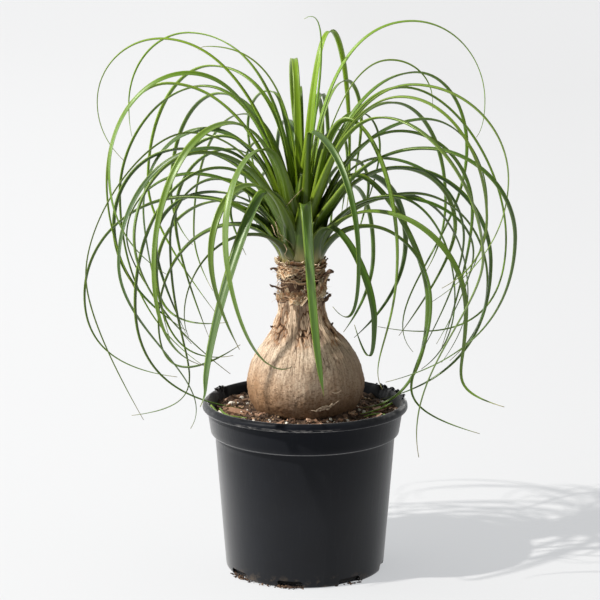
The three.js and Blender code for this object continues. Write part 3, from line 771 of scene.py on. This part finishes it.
OLD_FOOT = (13, 265.5)
YOUNG_FOOT = (3, 292)
CREST_SPAN = (285, 435)
SHOWN_LEAVES = [
    (168, 116, 438, 172, 384, 149, 336, 28, dict(fan=0.34, wide=5)),
    (147, 108, 440, 175, 375, 172, 349, 18, dict(fan=0.14, wide=4.6)),
    (205, 83, 436, 88, 434, 89, 433, 1, dict(fan=-0.03, wide=3.8)),
    (140, 93, 413, 173, 306, 95, 202, 36, dict(fan=0.1, wide=5.4)),
    (193, 93, 414, 157, 335, 112, 252, 54, dict(wide=6.4)),
    (172, 109, 403, 162, 318, 140, 232, 43, dict(wide=6.6)),
    (158, 85, 399, 165, 303, 88, 162, 100, dict(full=0.5, wide=5.6)),
    (188, 92, 366, 176, 250, 131, 129, 36, dict(full=0.42, wide=5.6)),
    (165, 91, 309, 190, 218, 108, 154, 60, dict(wide=7.6)),
    (160, 100, 347, 168, 278, 102, 192, 52, {}),
    (222, 77, 378, 153, 269, 105, 187, 65, dict(wide=7.4)),
    (190, 68, 338, 137, 226, 48, 136, 76, {}),
    (183, 73, 352, 149, 256, 20, 118, 60, dict(flick=72, wide=5.8)),
    (212, 96, 355, 154, 291, 68, 172, 51, dict(wide=7)),
    (158, 73, 323, 119, 267, 50, 113, 113, dict(flick=107, wide=6)),
    (145, 71, 302, 152, 230, 75, 198, 50, dict(wide=5)),
    (160, 53, 287, 129, 198, 54, 184, 67, dict(wide=7.4)),
    (228, 70, 289, 136, 234, 131, 216, 10, dict(wide=7.4)),
    (122, 84, 371, 180, 257, 147, 209, 24, dict(wide=5)),
    (133, 94, 389, 166, 297, 138, 254, 26, {}),
    (240, 88, 332, 138, 283, 97, 203, 30, dict(wide=7)),
    (167, 65, 360, 124, 257, 58, 176, 97, dict(wide=5.4)),
    (236, 52, 323, 133, 179, 140, 165, 8, dict(full=0.25, wide=9, taper=6, roll=-10)),
    (240, 64, 358, 136, 270, 62, 184, 84, dict(sweep=23, wide=8)),
    (274.4, 36, 313, 68, 222, 66, 160, 28, dict(sweep=11.4, wide=9, taper=5, roll=35)),
    (297, 16, 367, 98, 271, 55, 230, 60, dict(wide=6.8)),
    (0, 44, 331, 104, 226, 50, 137, 84, dict(full=0.36, sweep=-12, wide=9)),
    (315, 32, 291, 82, 219, 60, 214, 54, dict(full=0.42, wide=8)),
    (335, 41, 377, 85, 268, 46, 158, 70, dict(full=0.5, flick=27, wide=9)),
    (62, 84, 311, 134, 244, 77, 184, 35, dict(wide=7.6)),
    (40, 64, 324, 116, 262, 58, 186, 45, {}),
    (97, 58, 419, 110, 345, 104, 300, 30, dict(sweep=-8, wide=7)),
    (93, 46, 397, 104, 325, 98, 290, 20, {}),
    (180, -8, 457, -4, 456, -2, 455, 0.2, dict(fan=2.85, wide=3.8)),
    (62, 50, 443, 87, 335, 82, 290, 30, dict(wide=9, taper=1)),
    (15, 92, 452, 157, 384, 150, 355, 20, dict(fan=0.12, wide=6, taper=1.2)),
    (35, 87, 418, 135, 380, 135, 374, 3, dict(wide=4)),
    (78, 80, 388, 112, 335, 104, 300, 20, {}),
    (35, 113, 407, 173, 338, 20, 167, 84, dict(flick=97, wide=5.4)),
    (347, 92, 405, 169, 330, 107, 228, 60, dict(wide=6.8)),
    (10, 83, 400, 173, 270, 64, 201, 95, dict(full=0.47, wide=6.4)),
    (330, 93, 398, 166, 305, 128, 248, 35, dict(wide=6)),
    (45, 103, 381, 178, 288, 152, 228, 35, {}),
    (28, 114, 369, 180, 290, 156, 221, 35, dict(wide=5.4)),
    (320, 86, 383, 181, 280, 60, 114, 40, dict(full=0.5, flick=62, wide=7.4)),
    (338, 108, 357, 181, 288, 74, 163, 90, dict(wide=7)),
    (3, 78, 336, 156, 254, 66, 141, 92, {}),
    (20, 95, 310, 168, 229, 134, 164, 40, dict(wide=5.4)),
    (349, 75, 315, 127, 232, 100, 172, 40, {}),
    (332, 68, 305, 147, 230, 126, 157, 55, dict(flick=55)),
    (345, 56, 291, 109, 228, 42, 123, 60, dict(flick=108)),
    (25, 88, 308, 157, 216, 132, 160, 28, dict(wide=5.4)),
]
# Leaves of the rest of the crown: how many, azimuths, crest radii, crest heights, reaches and hangs
REST = [
    (12, (48, 132), (58, 86), (404, 305), (96, 122), (62, 34)),
    (4, (144, 180), (60, 98), (372, 302), (126, 158), (120, 70)),
    (4, (-40, 34), (60, 98), (372, 302), (126, 158), (120, 70)),
]
LEAF_KEYS = ("at", "crest_r", "crest_z", "reach_r", "reach_z", "tip_r", "tip_z", "drop")
LEAF_USUAL = {"fan": 0.36, "full": 0.55, "flick": 0, "sweep": 0, "wide": 6.8, "taper": 1.9, "roll": np.nan}
CURVE_STEPS = 60
LEAF_ROWS = 84
FOOT_ROWS = 10
FOOT_SHARE = 0.1  # of a leaf's length
CLASP_FOOT = (13.6, 257)
SECTION_HALF = 7
SHEATHS = 22
HEART_ROWS, HEART_SIDES = 60, 96


def rest_of_leaves():
    """The rows of the leaves that follow the rule, from young and upright to old and low."""
    rows = []
    for arc, (count, at, crest, top, reach, hang) in enumerate(REST):
        k = np.arange(count)
        age = (k + 0.5) / count
        out = draw(k, 0.3 + arc * 0.17, *reach)
        height = lerp(*top, age)
        fall = lerp(*hang, age)
        bow = 0.62 * fall
        azimuth = draw(k, 0.15 + arc * 0.29, *at)
        tip = out * draw(k, 0.8, 0.62, 0.88)
        columns = [azimuth, draw(k, 0.55, *crest), height, out, height - bow, tip, height - bow - fall,
                   0.5 * bow]
        wide = draw(k, 0.45, 4.6, 6)
        rows += [(*row[:-1], {"wide": row[-1]}) for row in zip(*columns, wide)]
    return rows


def leaf_table(rows):
    """Each of the leaves' values as a column, a leaf to a row."""
    table = {key: np.array([row[i] for row in rows], float)[:, None] for i, key in enumerate(LEAF_KEYS)}
    for key, usual in LEAF_USUAL.items():
        table[key] = np.array([row[-1].get(key, usual) for row in rows], float)[:, None]
    return table


def leaf_lines(leaf):
    """Each leaf's middle line in its own upright plane: a quadratic climb from the growing point to the
    crest, a cubic shoulder to the widest reach, and a quadratic hang to the tip, whose end turns out by
    flick t^5. The first tenth is a Hermite curve, which for an old leaf starts lower, on the neck that the
    foot clasps. u is the share of the length."""
    t = np.linspace(0, 1, CURVE_STEPS)[None, 1:]
    young = part_way(leaf["crest_z"], *CREST_SPAN)
    foot_r, foot_z = (lerp(old, new, young) for old, new in zip(OLD_FOOT, YOUNG_FOOT))
    climb = foot_r + leaf["fan"] * (leaf["crest_r"] - foot_r)
    bend_r = lerp(leaf["crest_r"], leaf["reach_r"], leaf["full"])
    bend_z = lerp(leaf["reach_z"], leaf["crest_z"], leaf["full"])

    radius = np.concatenate([
        foot_r,
        bezier(t, foot_r, climb, leaf["crest_r"]),
        bezier(t, leaf["crest_r"], bend_r, leaf["reach_r"], leaf["reach_r"]),
        bezier(t, leaf["reach_r"], leaf["reach_r"], leaf["tip_r"]) + leaf["flick"] * t ** 5], axis=1)
    height = np.concatenate([
        foot_z,
        bezier(t, foot_z, leaf["crest_z"], leaf["crest_z"]),
        bezier(t, leaf["crest_z"], leaf["crest_z"], bend_z, leaf["reach_z"]),
        bezier(t, leaf["reach_z"], leaf["reach_z"] - leaf["drop"], leaf["tip_z"])], axis=1)
    steps = np.hypot(np.diff(radius, axis=1), np.diff(height, axis=1))
    length = np.concatenate([np.zeros_like(foot_z), np.cumsum(steps, axis=1)], axis=1)
    u = np.linspace(FOOT_SHARE, 1, LEAF_ROWS)
    even = np.array([(np.interp(u * along[-1], along, r), np.interp(u * along[-1], along, z))
                     for along, r, z in zip(length, radius, height)])

    clasp = smooth(leaf["crest_z"], 345, 300)
    start = np.stack([lerp(foot_r, CLASP_FOOT[0], clasp), lerp(foot_z, CLASP_FOOT[1], clasp)], axis=1)
    join = even[:, :, :1]
    ahead = even[:, :, 1:2] - join
    span = np.linalg.norm(join - start, axis=1, keepdims=True)
    leave = span * np.array([[0.1], [1.0]])
    arrive = span * ahead / np.linalg.norm(ahead, axis=1, keepdims=True)
    v = np.linspace(0, 1, FOOT_ROWS, endpoint=False)
    foot = (start * (1 + 2 * v) * (1 - v) ** 2 + leave * v * (1 - v) ** 2
            + join * v ** 2 * (3 - 2 * v) + arrive * v ** 2 * (v - 1))
    radius, height = np.moveaxis(np.concatenate([foot, even], axis=2), 1, 0)
    share = np.concatenate([v * FOOT_SHARE, u])
    return radius, height, np.broadcast_to(share, radius.shape), length[:, -1:], clasp


def blade_width(wide, taper, u):
    """A broad clasping foot, a long even strap and a fine tip."""
    foot = 1 + 0.95 * smooth(u, 0.22, 0)
    return wide * foot * (1 - 0.84 * u ** taper) * (1 - 0.55 * smooth(u, 0.9, 1))


def straps(radius, height, azimuth, roll, width, depth, thick):
    """Blades of a channelled section along lines in upright planes, each turned about its line by roll: the
    upper face dips by depth (1 - |s|^1.8) across its width, s running from -1 to 1, and the under face lies
    below it by thick sqrt(1 - s^2). Returns the points, and s for the points of a section."""
    out = polar(1, azimuth, 0)
    ahead = unit(np.stack([np.gradient(radius, axis=1), np.gradient(height, axis=1)], axis=-1))
    along = out * ahead[..., :1] + UP * ahead[..., 1:]
    above = turn_about(UP * ahead[..., :1] - out * ahead[..., 1:], along, roll[..., None])
    across = np.cross(along, above)
    s = np.linspace(-1, 1, SECTION_HALF)
    side = np.concatenate([s, s[-2:0:-1]])
    under = np.concatenate([np.zeros(SECTION_HALF), np.sqrt(1 - s[-2:0:-1] ** 2)])
    dip = -depth[..., None] * (1 - np.abs(side) ** 1.8) - thick[..., None] * under
    middle = polar(radius, azimuth, height, NECK_X)
    points = (middle[:, :, None] + across[:, :, None] * (side * width[..., None] / 2)[..., None]
              + above[:, :, None] * dip[..., None])
    return points, side


def leaf_blades(name, rows, first):
    """The blades of those rows, which roll over their crests and sway a little in width and roll."""
    leaf = leaf_table(rows)
    radius, height, u, length, clasp = leaf_lines(leaf)
    k = first + np.arange(len(rows))[:, None]
    azimuth = np.radians(leaf["at"] + leaf["sweep"] * u ** 3)
    hand = np.where(k % 2, 1, -1)
    usual = (hand * draw(k, 0.37, 16, 60) * np.abs(np.cos(np.radians(leaf["at"])))
             * (1 - 0.75 * smooth(leaf["reach_r"], 140, 172)))
    roll = np.radians(np.where(np.isnan(leaf["roll"]), usual, leaf["roll"]) * smooth(u, 0.1, 0.45)
                      + 9 * np.sin(5 * u + 6.28 * draw(k, 0.1)) * smooth(u, 0.25, 0.6))
    sway = 1 + 0.06 * np.sin(u * length / 23 + 6.28 * draw(k, 0.8)) * smooth(u, 0.15, 0.3)
    base = smooth(u, FOOT_SHARE, 0)
    open_foot = clasp * base
    width = blade_width(leaf["wide"], leaf["taper"], u) * sway * (1 + 0.25 * open_foot)
    fold = (draw(k, 0.9, 0.15, 0.33) * (1 - open_foot) + 0.08 * smooth(u, 0.25, 0.02)
            + 0.1 * open_foot)
    depth = width * fold * (1 - 0.5 * u)
    thick = 0.35 + 0.07 * width * (1 - 0.4 * base)
    points, side = straps(radius, height, azimuth, roll, width, depth, thick)
    age = part_way(leaf["crest_z"], 440, 290)
    piece(name, points, LEAF_FINISH, "leaf", ["leaf_crown"] if first == 0 else (),
          along=u[..., None], across=side, age=age[..., None], shade=draw(k, 0.62)[..., None],
          distance=(u * length)[..., None])


def leaf_sheaths():
    """Short clasping leaves round the growing point, between the feet of the long ones."""
    k = np.arange(SHEATHS)[:, None]
    t = np.linspace(0, 1, 16)[None]
    azimuth = k * GOLDEN * 2 * np.pi + 0 * t
    inner = draw(k, 0.35)
    foot_r, foot_z = lerp(12.4, 8.5, inner), lerp(259, 270, inner)
    tall = draw(k, 0.6, 26, 56) * lerp(0.75, 1, inner)
    radius = foot_r + lerp(6, 1, inner) * t ** 2 + 1.5 * draw(k, 0.15) * t ** 4
    height = foot_z + tall * t
    width = draw(k, 0.25, 13, 17) * lerp(1, 0.8, inner) * (1 - 0.92 * t ** 2.4)
    points, side = straps(radius, height, azimuth, 0 * azimuth, width, 0.24 * width, 0.5 + 0 * width)
    piece("leaf_sheaths", points, LEAF_FINISH, "leaf", along=0.3 + 0.68 * t[..., None], across=side,
          age=0.75, shade=draw(k, 0.5)[..., None], distance=(tall * t)[..., None])


def strap_leaf():
    """A strap leaf: yellow green when young and at its heart, there lighter still as painted glow of light
    through the blade, deeper and greyer when old, with fine veins along it and thin yellow edges. Towards
    its foot it is darkened by painted shade, an old leaf's more so; the foot is papery at the edges and
    withered at the very end, and its tip is dry."""
    f = Finish("strap_leaf")
    along, across, age, shade, distance = map(f.field, ("along", "across", "age", "shade", "distance"))

    def lengthwise(wide, long, detail):
        """Noise of wide cells over half a blade and of long cells to the mm along it."""
        spot = f.node("ShaderNodeCombineXYZ", inputs={0: across * wide, 1: distance * long, 2: shade * 40})
        return f.noise(spot, detail)

    veins, mottle = lengthwise(5.2, 0.011, 4.0), lengthwise(0.6, 0.03, 3.0)
    # young greens: their own yellow green, made lighter as painted glow of light through the blade
    young = f.colours(shade, (0.125, 0.255, 0.002), (0.240, 0.385, 0.006))
    old = f.colours(shade, (0.024, 0.066, 0.004), (0.054, 0.122, 0.006), (0.112, 0.188, 0.020))
    husk = f.colours(veins, (0.10, 0.065, 0.02), (0.30, 0.235, 0.09), (0.46, 0.36, 0.18))
    rim = across.maths("ABSOLUTE", across)
    grown = f.band(age, 0.3, 0.8)
    base = f.coats(
        f.mix(f.band(age + mottle * 0.3, 0.08, 0.70), young, old),
        # the heart of a young leaf: yellow green, lighter as painted glow of light through it
        (f.band(distance, 95, 8) * (1 - age) ** 0.5 * 0.6, (0.27, 0.38, 0.008)),
        # painted shade that deepens towards the foot, in the middle of the crown
        (f.band(distance, 70, 10) * 0.6, (0.016, 0.036, 0.003)),
        # more painted shade at the foot of an old leaf
        (f.band(distance, 46, 4) * f.band(age, 0.3, 0.9) * 0.65, (0.022, 0.042, 0.006)),
        (f.band(distance + mottle * 8, 16, 4) * grown * 0.9, husk),
        (f.band(veins, 0.62, 0.32) * 0.35, (0.012, 0.034, 0.002)),
        (f.band(veins, 0.5, 0.8) * 0.3, (0.16, 0.25, 0.010)),
        (f.band(rim, 0.74, 0.98) * 0.5, (0.27, 0.37, 0.03)),
        (f.band(distance, 30, 6) * f.band(rim, 0.55, 0.95) * grown * 0.2, (0.26, 0.25, 0.10)),
        (f.band(along + shade * 0.04, 0.975, 1.02) * 0.8, (0.22, 0.17, 0.06)))
    return f.done(base, 0.30 + veins * 0.14, veins * 0.6 + mottle * 0.4, 0.25, Coat_Weight=0.5,
                  Coat_Roughness=0.4, Specular_IOR_Level=0.35, Specular_Tint=(0.85, 1.0, 0.6, 1))


LEAF_FINISH = strap_leaf()
HEART = [[12.6, 257.4], [13.2, 262], [14.2, 268], [14.0, 276], [12.4, 288], [9.8, 300], [6.6, 314], [3, 328],
         [1, 331]]


def resting_ends():
    """Thin ends of leaves that rest on the mix: tubes along curves through x, y and a height above it."""
    knots = [[(72, -12, 8), (64, -13, 4), (54, -17, 1.6), (45, -23, 1.2)],
             [(73, 12, 6), (65, 7, 2.4), (57, 3, 1.4), (49, -3, 1.6)],
             [(66, -30, 2), (60, -28, 2.6), (53, -30, 2.4), (48, -32, 1.2)],
             [(-77, -24, 9), (-69, -31, 3), (-58, -33, 1.8), (-47, -36, 1.4)],
             [(-70, -12, 3), (-66, -24, 2), (-58, -38, 1.8), (-52, -44, 1.2)]]
    u = np.linspace(0, 1, 48)
    lines = np.array([curve_through(k, len(u)) for k in knots]) + [0, 0, SOIL_LEVEL + 3]
    ends = threads(lines, 0.95 * (1 - 0.7 * u ** 1.5), 6)
    piece("resting_ends", ends, LEAF_FINISH, "leaf", along=(0.5 + 0.47 * u)[:, None], across=0.4,
          age=0.3, shade=0.9, distance=(200 + 60 * u)[:, None])


def crown_heart():
    """The core that the feet of the leaves wrap: its profile turned, with clasping ridges that spiral up."""
    profile = curve_through(HEART, HEART_ROWS)
    angle = full_turn(HEART_SIDES)[None]
    radius, z = profile[:, :1], profile[:, 1:]
    ridge = 0.08 * np.abs(np.sin(4 * angle + 0.11 * z)) + 0.05 * np.sin(9 * angle - 0.2 * z) - 0.04
    points = polar(radius * (1 + ridge), angle, z, NECK_X)
    piece("crown_heart", points[None], LEAF_FINISH, "leaf",
          along=0.3, across=np.sin(4 * angle)[None], age=0.75, shade=0.2, distance=40)


# The collar of dry leaf bases

COLLAR = {"foot": 231, "top": 260, "clear": 1.2}
SLEEVE_ROWS, SLEEVE_SIDES = 44, 160
# Torn stubs: azimuth in degrees, foot and tip as radius and height, width, and bow
STUBS = [
    (184, 16, 250, 25.4, 252.6, 3.6, 1.2), (186, 16, 235, 26.2, 239.6, 3, -0.4),
    (190, 17, 228, 23, 232.4, 3, 0.6), (331, 14, 241, 31, 252, 6.4, 6.5),
    (340, 16, 223, 25.4, 232, 5.4, 0.5), (348, 17, 229, 22, 233, 3, 0), (352, 15, 254, 21.8, 260.6, 2.8, 0),
    (181, 22, 203.2, 25.4, 204, 2.8, 0), (357, 22, 205.2, 26, 206, 3.6, 0), (120, 16, 238, 26, 246, 5, 1),
    (75, 16, 247, 27, 254, 4.4, 1), (20, 16, 236, 25, 241, 4, 1),
]
SCALES = (64, 44, 44)  # hanging, standing and layered
FIBRES, DRAPED = 260, 70


def husk_finish():
    """Dry leaf bases: papery tan over rust and dark brown, with fibres along them and worn grey patches, and
    painted shade where a sheet is tucked in.
    """
    f = Finish("dry_husk")
    shade, lift = f.field("shade"), f.field("lift")
    fibres = f.cloud(0.7, (1, 1, 6), 4.0)
    blotch = f.cloud(4.5)
    base = f.coats(
        f.colours(shade, (0.06, 0.028, 0.014), (0.31, 0.155, 0.070), (0.60, 0.375, 0.205),
                  (0.86, 0.65, 0.43)),
        (f.band(fibres, 0.42, 0.62) * 0.65, (0.12, 0.062, 0.032)),
        (f.band(blotch, 0.54, 0.68) * 0.5, (0.25, 0.19, 0.14)),
        # painted shade where a sheet is tucked in under the next one
        (f.band(lift, 0.6, 0.0) * 0.85, (0.035, 0.018, 0.010)),
        (f.band(lift, 0.84, 1) * 0.8, (0.90, 0.74, 0.52)))
    return f.done(base, 0.82, fibres * 0.7 + blotch * 0.3, 0.8, Specular_IOR_Level=0.3)


def stub_finish():
    """Shrivelled dark ends of old leaves."""
    f = Finish("dry_stub")
    grain = f.cloud(1.2, (1, 1, 2), 4.0)
    base = f.colours(grain, (0.03, 0.017, 0.01), (0.09, 0.05, 0.03), (0.24, 0.15, 0.085))
    return f.done(base, 0.9, grain, 0.8)


def husk_scales(finish):
    """Torn sheets wrapped on the sleeve, lift going from 0 at the edge that is tucked in to 1 at the free
    edge, which curls away by lift^2. The first hang, with a V-shaped free edge. The next stand up and are
    torn to points. The last are long folds that lie in layers under the living leaves."""
    random = np.random.default_rng(41)
    hanging, standing, layered = SCALES
    count = sum(SCALES)
    k = np.arange(count)[:, None, None]
    kinds = [k < hanging, k < hanging + standing]

    def between(*spans):
        """An even draw from each kind's own span."""
        return np.select(kinds, [random.uniform(*span, (count, 1, 1)) for span in spans[:2]],
                         random.uniform(*spans[2], (count, 1, 1)))

    at = k * GOLDEN * 2 * np.pi + random.normal(0, 0.15, (count, 1, 1))
    foot = np.select(kinds, [draw(k, 0.3, 236, 259), draw(k, 0.5, 224, 252)],
                     lerp(242, 259, (k - hanging - standing) / layered))
    tall = between((-12, -8), (4, 10), (2, 4))
    wide = between((10, 16), (3, 9), (10, 24))
    tilt = between((-0.25, 0.25), (-0.5, 0.5), (-0.1, 0.1))
    flare = between((0.9, 3.0), (0.6, 5.0), (1.2, 3.6))
    rise = between((3, 6), (-3, 0), (-0.5, 1.5))
    half = np.linspace(-1, 1, 13)
    lift = np.linspace(0, 1, 9)[None, :, None]
    s = np.concatenate([half, half[::-1]])[None, None]
    under = np.repeat([0.0, 1.0], len(half))[None, None]
    torn = 0.9 * np.sin(5 * s + 9 * at) + 0.8 * np.sin(11 * s + 4 * at)
    tear = torn * np.select(kinds, [0.8, 1.3], 0.7)
    narrow = 1 - np.select(kinds, [0.25, 0.6], 0.1) * lift ** 1.5
    turn = at + s * narrow * wide / 36
    height = (foot + tilt * s * wide / 2 + lift * (tall + tear + rise * np.abs(s) ** 1.4)
              + np.select(kinds, [0, 0], 2.0) * (s ** 2 - 0.4))
    under_it = trunk_radius(np.clip(height, 218, NECK_TOP - 4))
    rest = np.maximum(under_it, 16.6) + 0.9 + 1.2 * draw(k, 0.7)
    curl = flare * lift ** 2 - 0.7 * (1 - lift) * s ** 2 + 0.35 * np.sin(7 * s + 4 * at) * lift
    points = polar(rest + curl - 0.5 * under * (1 - 0.4 * lift), turn, height, NECK_X)
    down = tall < 0
    upward = np.where(down[..., None], points[:, ::-1], points)[:, :, ::-1]
    piece("husk_scales", upward, finish, "dry_leaf", crease=50,
          shade=lerp(0.15, 1, random.random((count, 1, 1))), lift=np.where(down, 1 - lift, lift))


def husk_sleeve(finish):
    """A wrinkled sleeve round the neck, under the scales, with a plain lining."""
    foot, top = COLLAR["foot"], COLLAR["top"]
    angle = full_turn(SLEEVE_SIDES)[None]
    z = np.linspace(foot - 3, top, SLEEVE_ROWS)[:, None]
    inner = trunk_radius(np.clip(z, 229, NECK_TOP - 4)) + COLLAR["clear"]
    wrinkle = rough(polar(12, angle, 0.3 * z), 3.2) * 1.2 + rough(polar(16, angle, z), 4) * 1.2
    ends = np.minimum(smooth(z, foot - 3, foot), 1 - 0.5 * smooth(z, 252, 259))
    outer = polar(inner + 0.3 + (0.6 + wrinkle) * ends, angle, z, NECK_X)
    lining = polar(inner[::-1] - 0.2, angle, z[::-1], NECK_X)
    # lift 0.2 gives the sleeve the painted shade of a tucked-in part
    piece("husk_sleeve", np.concatenate([outer, lining])[None], finish, "dry_leaf", ["dry_leaf_bases"],
          loop=True, shade=0.05, lift=0.2)


def husk_stubs():
    """Stubs of old leaves, shrivelled and bent."""
    azimuth, foot, foot_z, tip, tip_z, wide, bow = np.array(STUBS).T[..., None]
    t = np.linspace(0, 1, 18)[None]
    height = lerp(foot_z, tip_z, t) + 0.5 * np.sin(9 * t + azimuth) * t + bow * np.sin(np.pi * t) * t
    turn = np.radians(azimuth) + 0.08 * np.sin(5 * t + wide) * t
    thick = wide * (0.36 - 0.13 * t + 0.06 * np.sin(13 * t + azimuth))
    tubes = threads(polar(lerp(foot, tip, t ** 0.9), turn, height, NECK_X), thick, 8)
    piece("husk_stubs", tubes, stub_finish(), "dry_leaf")


def husk_fibres(finish):
    """Loose fibres: the first are thicker and draped against the collar, the others stick out."""
    random = np.random.default_rng(43)
    each = (FIBRES, 1)
    t = np.linspace(0, 1, 10)[None]
    draped = np.arange(FIBRES)[:, None] < DRAPED
    swing = np.where(draped, random.normal(0, 1.0, each), random.normal(0, 0.25, each))
    azimuth = random.uniform(0, 2 * np.pi, each) + swing * t
    reach = np.where(draped, 1.2, random.uniform(1.5, 8.5, each))
    start = random.uniform(228, 257, each)
    radius = np.where(draped, 19.2, 17.4) + reach * np.where(draped, np.sin(np.pi * t), t)
    drop = np.where(draped, 20 * (t ** 2 - t) * random.random(each), random.uniform(-7, 5, each) * t ** 1.5)
    height = start + drop + 0.6 * np.sin(6 * t + 5 * azimuth)
    thick = np.where(draped, 0.24, 0.15) * (1.2 - t)
    fibres = threads(polar(radius, azimuth, height, NECK_X), thick, 4)
    piece("husk_fibres", fibres, finish, "dry_leaf", shade=np.where(draped, 0.95, 0.6)[..., None], lift=0.5)


def crown_wisps(finish):
    """Dry threads and curled shreds that hang before the crown's left foot."""
    knots = [[(-1.7, -24, 322), (-9, -27, 315), (-18.5, -25, 303), (-24, -21, 293)],
             [(-24, -20, 294), (-21, -23, 285), (-15, -22, 280), (-9.7, -20, 274)],
             [(-27, -17, 291), (-23, -21, 283), (-18, -22, 279.5), (-12, -20, 271)],
             [(-19, -22, 279), (-15, -23, 273), (-16, -21, 267), (-12, -20, 263)]]
    t = np.linspace(0, 1, 40)
    lines = np.array([curve_through(k, len(t)) for k in knots])
    lines += 1.1 * np.stack([np.sin(17 * t), 0 * t, np.cos(13 * t)], axis=-1) * (t * (1 - t))[:, None]
    thick = np.array([0.22, 0.42, 0.34, 0.5])[:, None] * (1.1 - t)
    piece("crown_wisps", threads(lines, thick), finish, "dry_leaf", shade=0.95, lift=0.8)


# The studio

SUN_FROM = Vector((-1140, -490, 1420))
CAMERA = {"back": 1714, "high": 571.4, "side": -4.1, "pitch": 11.4, "pixels": 2131, "frame": 600}
FLOOR_HALF = 20  # metres


def plain_floor():
    """A pale sweep that carries a little light of its own, as an overexposed backdrop does, and falls off
    to the right and to the back."""
    f = Finish("pale_floor")
    fall = f.band(f.axis(0), -400, 600) * 0.62 + f.band(f.axis(1), -500, 7000) * 0.6
    glow = f.mix(fall, (0.945, 0.965, 0.99), (0.74, 0.757, 0.785))
    corners = [(x * FLOOR_HALF, y * FLOOR_HALF, 0) for x, y in ((-1, -1), (1, -1), (1, 1), (-1, 1))]
    mesh = bpy.data.meshes.new("floor")
    mesh.from_pydata(corners, [], [(0, 1, 2, 3)])
    mesh.materials.append(f.done((0.27, 0.27, 0.27, 1), 0.9, Emission_Color=glow, Emission_Strength=0.52,
                                 Specular_IOR_Level=0.1))
    floor = placed("floor", mesh)


def pale_room():
    """A room that is bright behind and above the plant and dim at the camera's side. What is seen of it is
    plainly pale."""
    room = Finish("pale_room", bpy.data.worlds)
    way = room.node("ShaderNodeTexCoord", output="Generated")
    side, back, up = (room.node("ShaderNodeSeparateXYZ", inputs={0: way}, output=axis) for axis in range(3))
    left = room.band(side, 0.5, -0.7)
    windows = room.band(side, -0.3, -0.85) * 3.6 + room.band(side, 0.5, 0.95) * 1.1
    glow = (0.05 + room.band(back, -0.35, 0.7) * (0.25 + left * 0.45) + room.band(up, 0.2, 0.9) * 0.3
            + room.band(up, 0.55, 0.2) * windows)
    seen = room.node("ShaderNodeLightPath", output="Is Camera Ray")
    light = room.node("ShaderNodeBackground", inputs={"Color": (1, 1, 1, 1), "Strength": glow})
    plain = room.node("ShaderNodeBackground", inputs={"Color": (0.86, 0.86, 0.86, 1)})
    both = room.node("ShaderNodeMixShader", inputs={0: seen, 1: light, 2: plain})
    room.node("ShaderNodeOutputWorld", inputs={"Surface": both})
    return room.made


def studio():
    """The room, the floor, the key light as the pot's shadow gives it, and the camera."""
    bpy.context.scene.world = pale_room()
    bpy.context.scene.view_settings.view_transform = "Standard"
    sun = bpy.data.lights.new("key", "SUN")
    sun.energy, sun.angle, sun.color = 4.3, math.radians(1.3), (1, 0.975, 0.94)
    key = placed("key", sun)
    key.location = SUN_FROM * MM
    key.rotation_euler = (-SUN_FROM).to_track_quat("-Z", "Y").to_euler()
    plain_floor()

    lens = bpy.data.cameras.new("camera")
    lens.sensor_width = 36
    lens.lens = lens.sensor_width * CAMERA["pixels"] / CAMERA["frame"]
    lens.clip_end = 100
    camera = placed("camera", lens)
    camera.location = Vector((CAMERA["side"], -CAMERA["back"], CAMERA["high"])) * MM
    camera.rotation_euler = (math.radians(90 - CAMERA["pitch"]), 0, 0)
    bpy.context.scene.camera = camera


studio()
nursery_pot()
caudex_trunk()
belly_roots()
potting_mix()
strewn_mix()
drain_crumbs()
leaf_blades("shown_leaves", SHOWN_LEAVES, 0)
leaf_blades("other_leaves", rest_of_leaves(), len(SHOWN_LEAVES))
leaf_sheaths()
resting_ends()
crown_heart()
HUSK_FINISH = husk_finish()
husk_sleeve(HUSK_FINISH)
husk_scales(HUSK_FINISH)
husk_stubs()
husk_fibres(HUSK_FINISH)
crown_wisps(HUSK_FINISH)
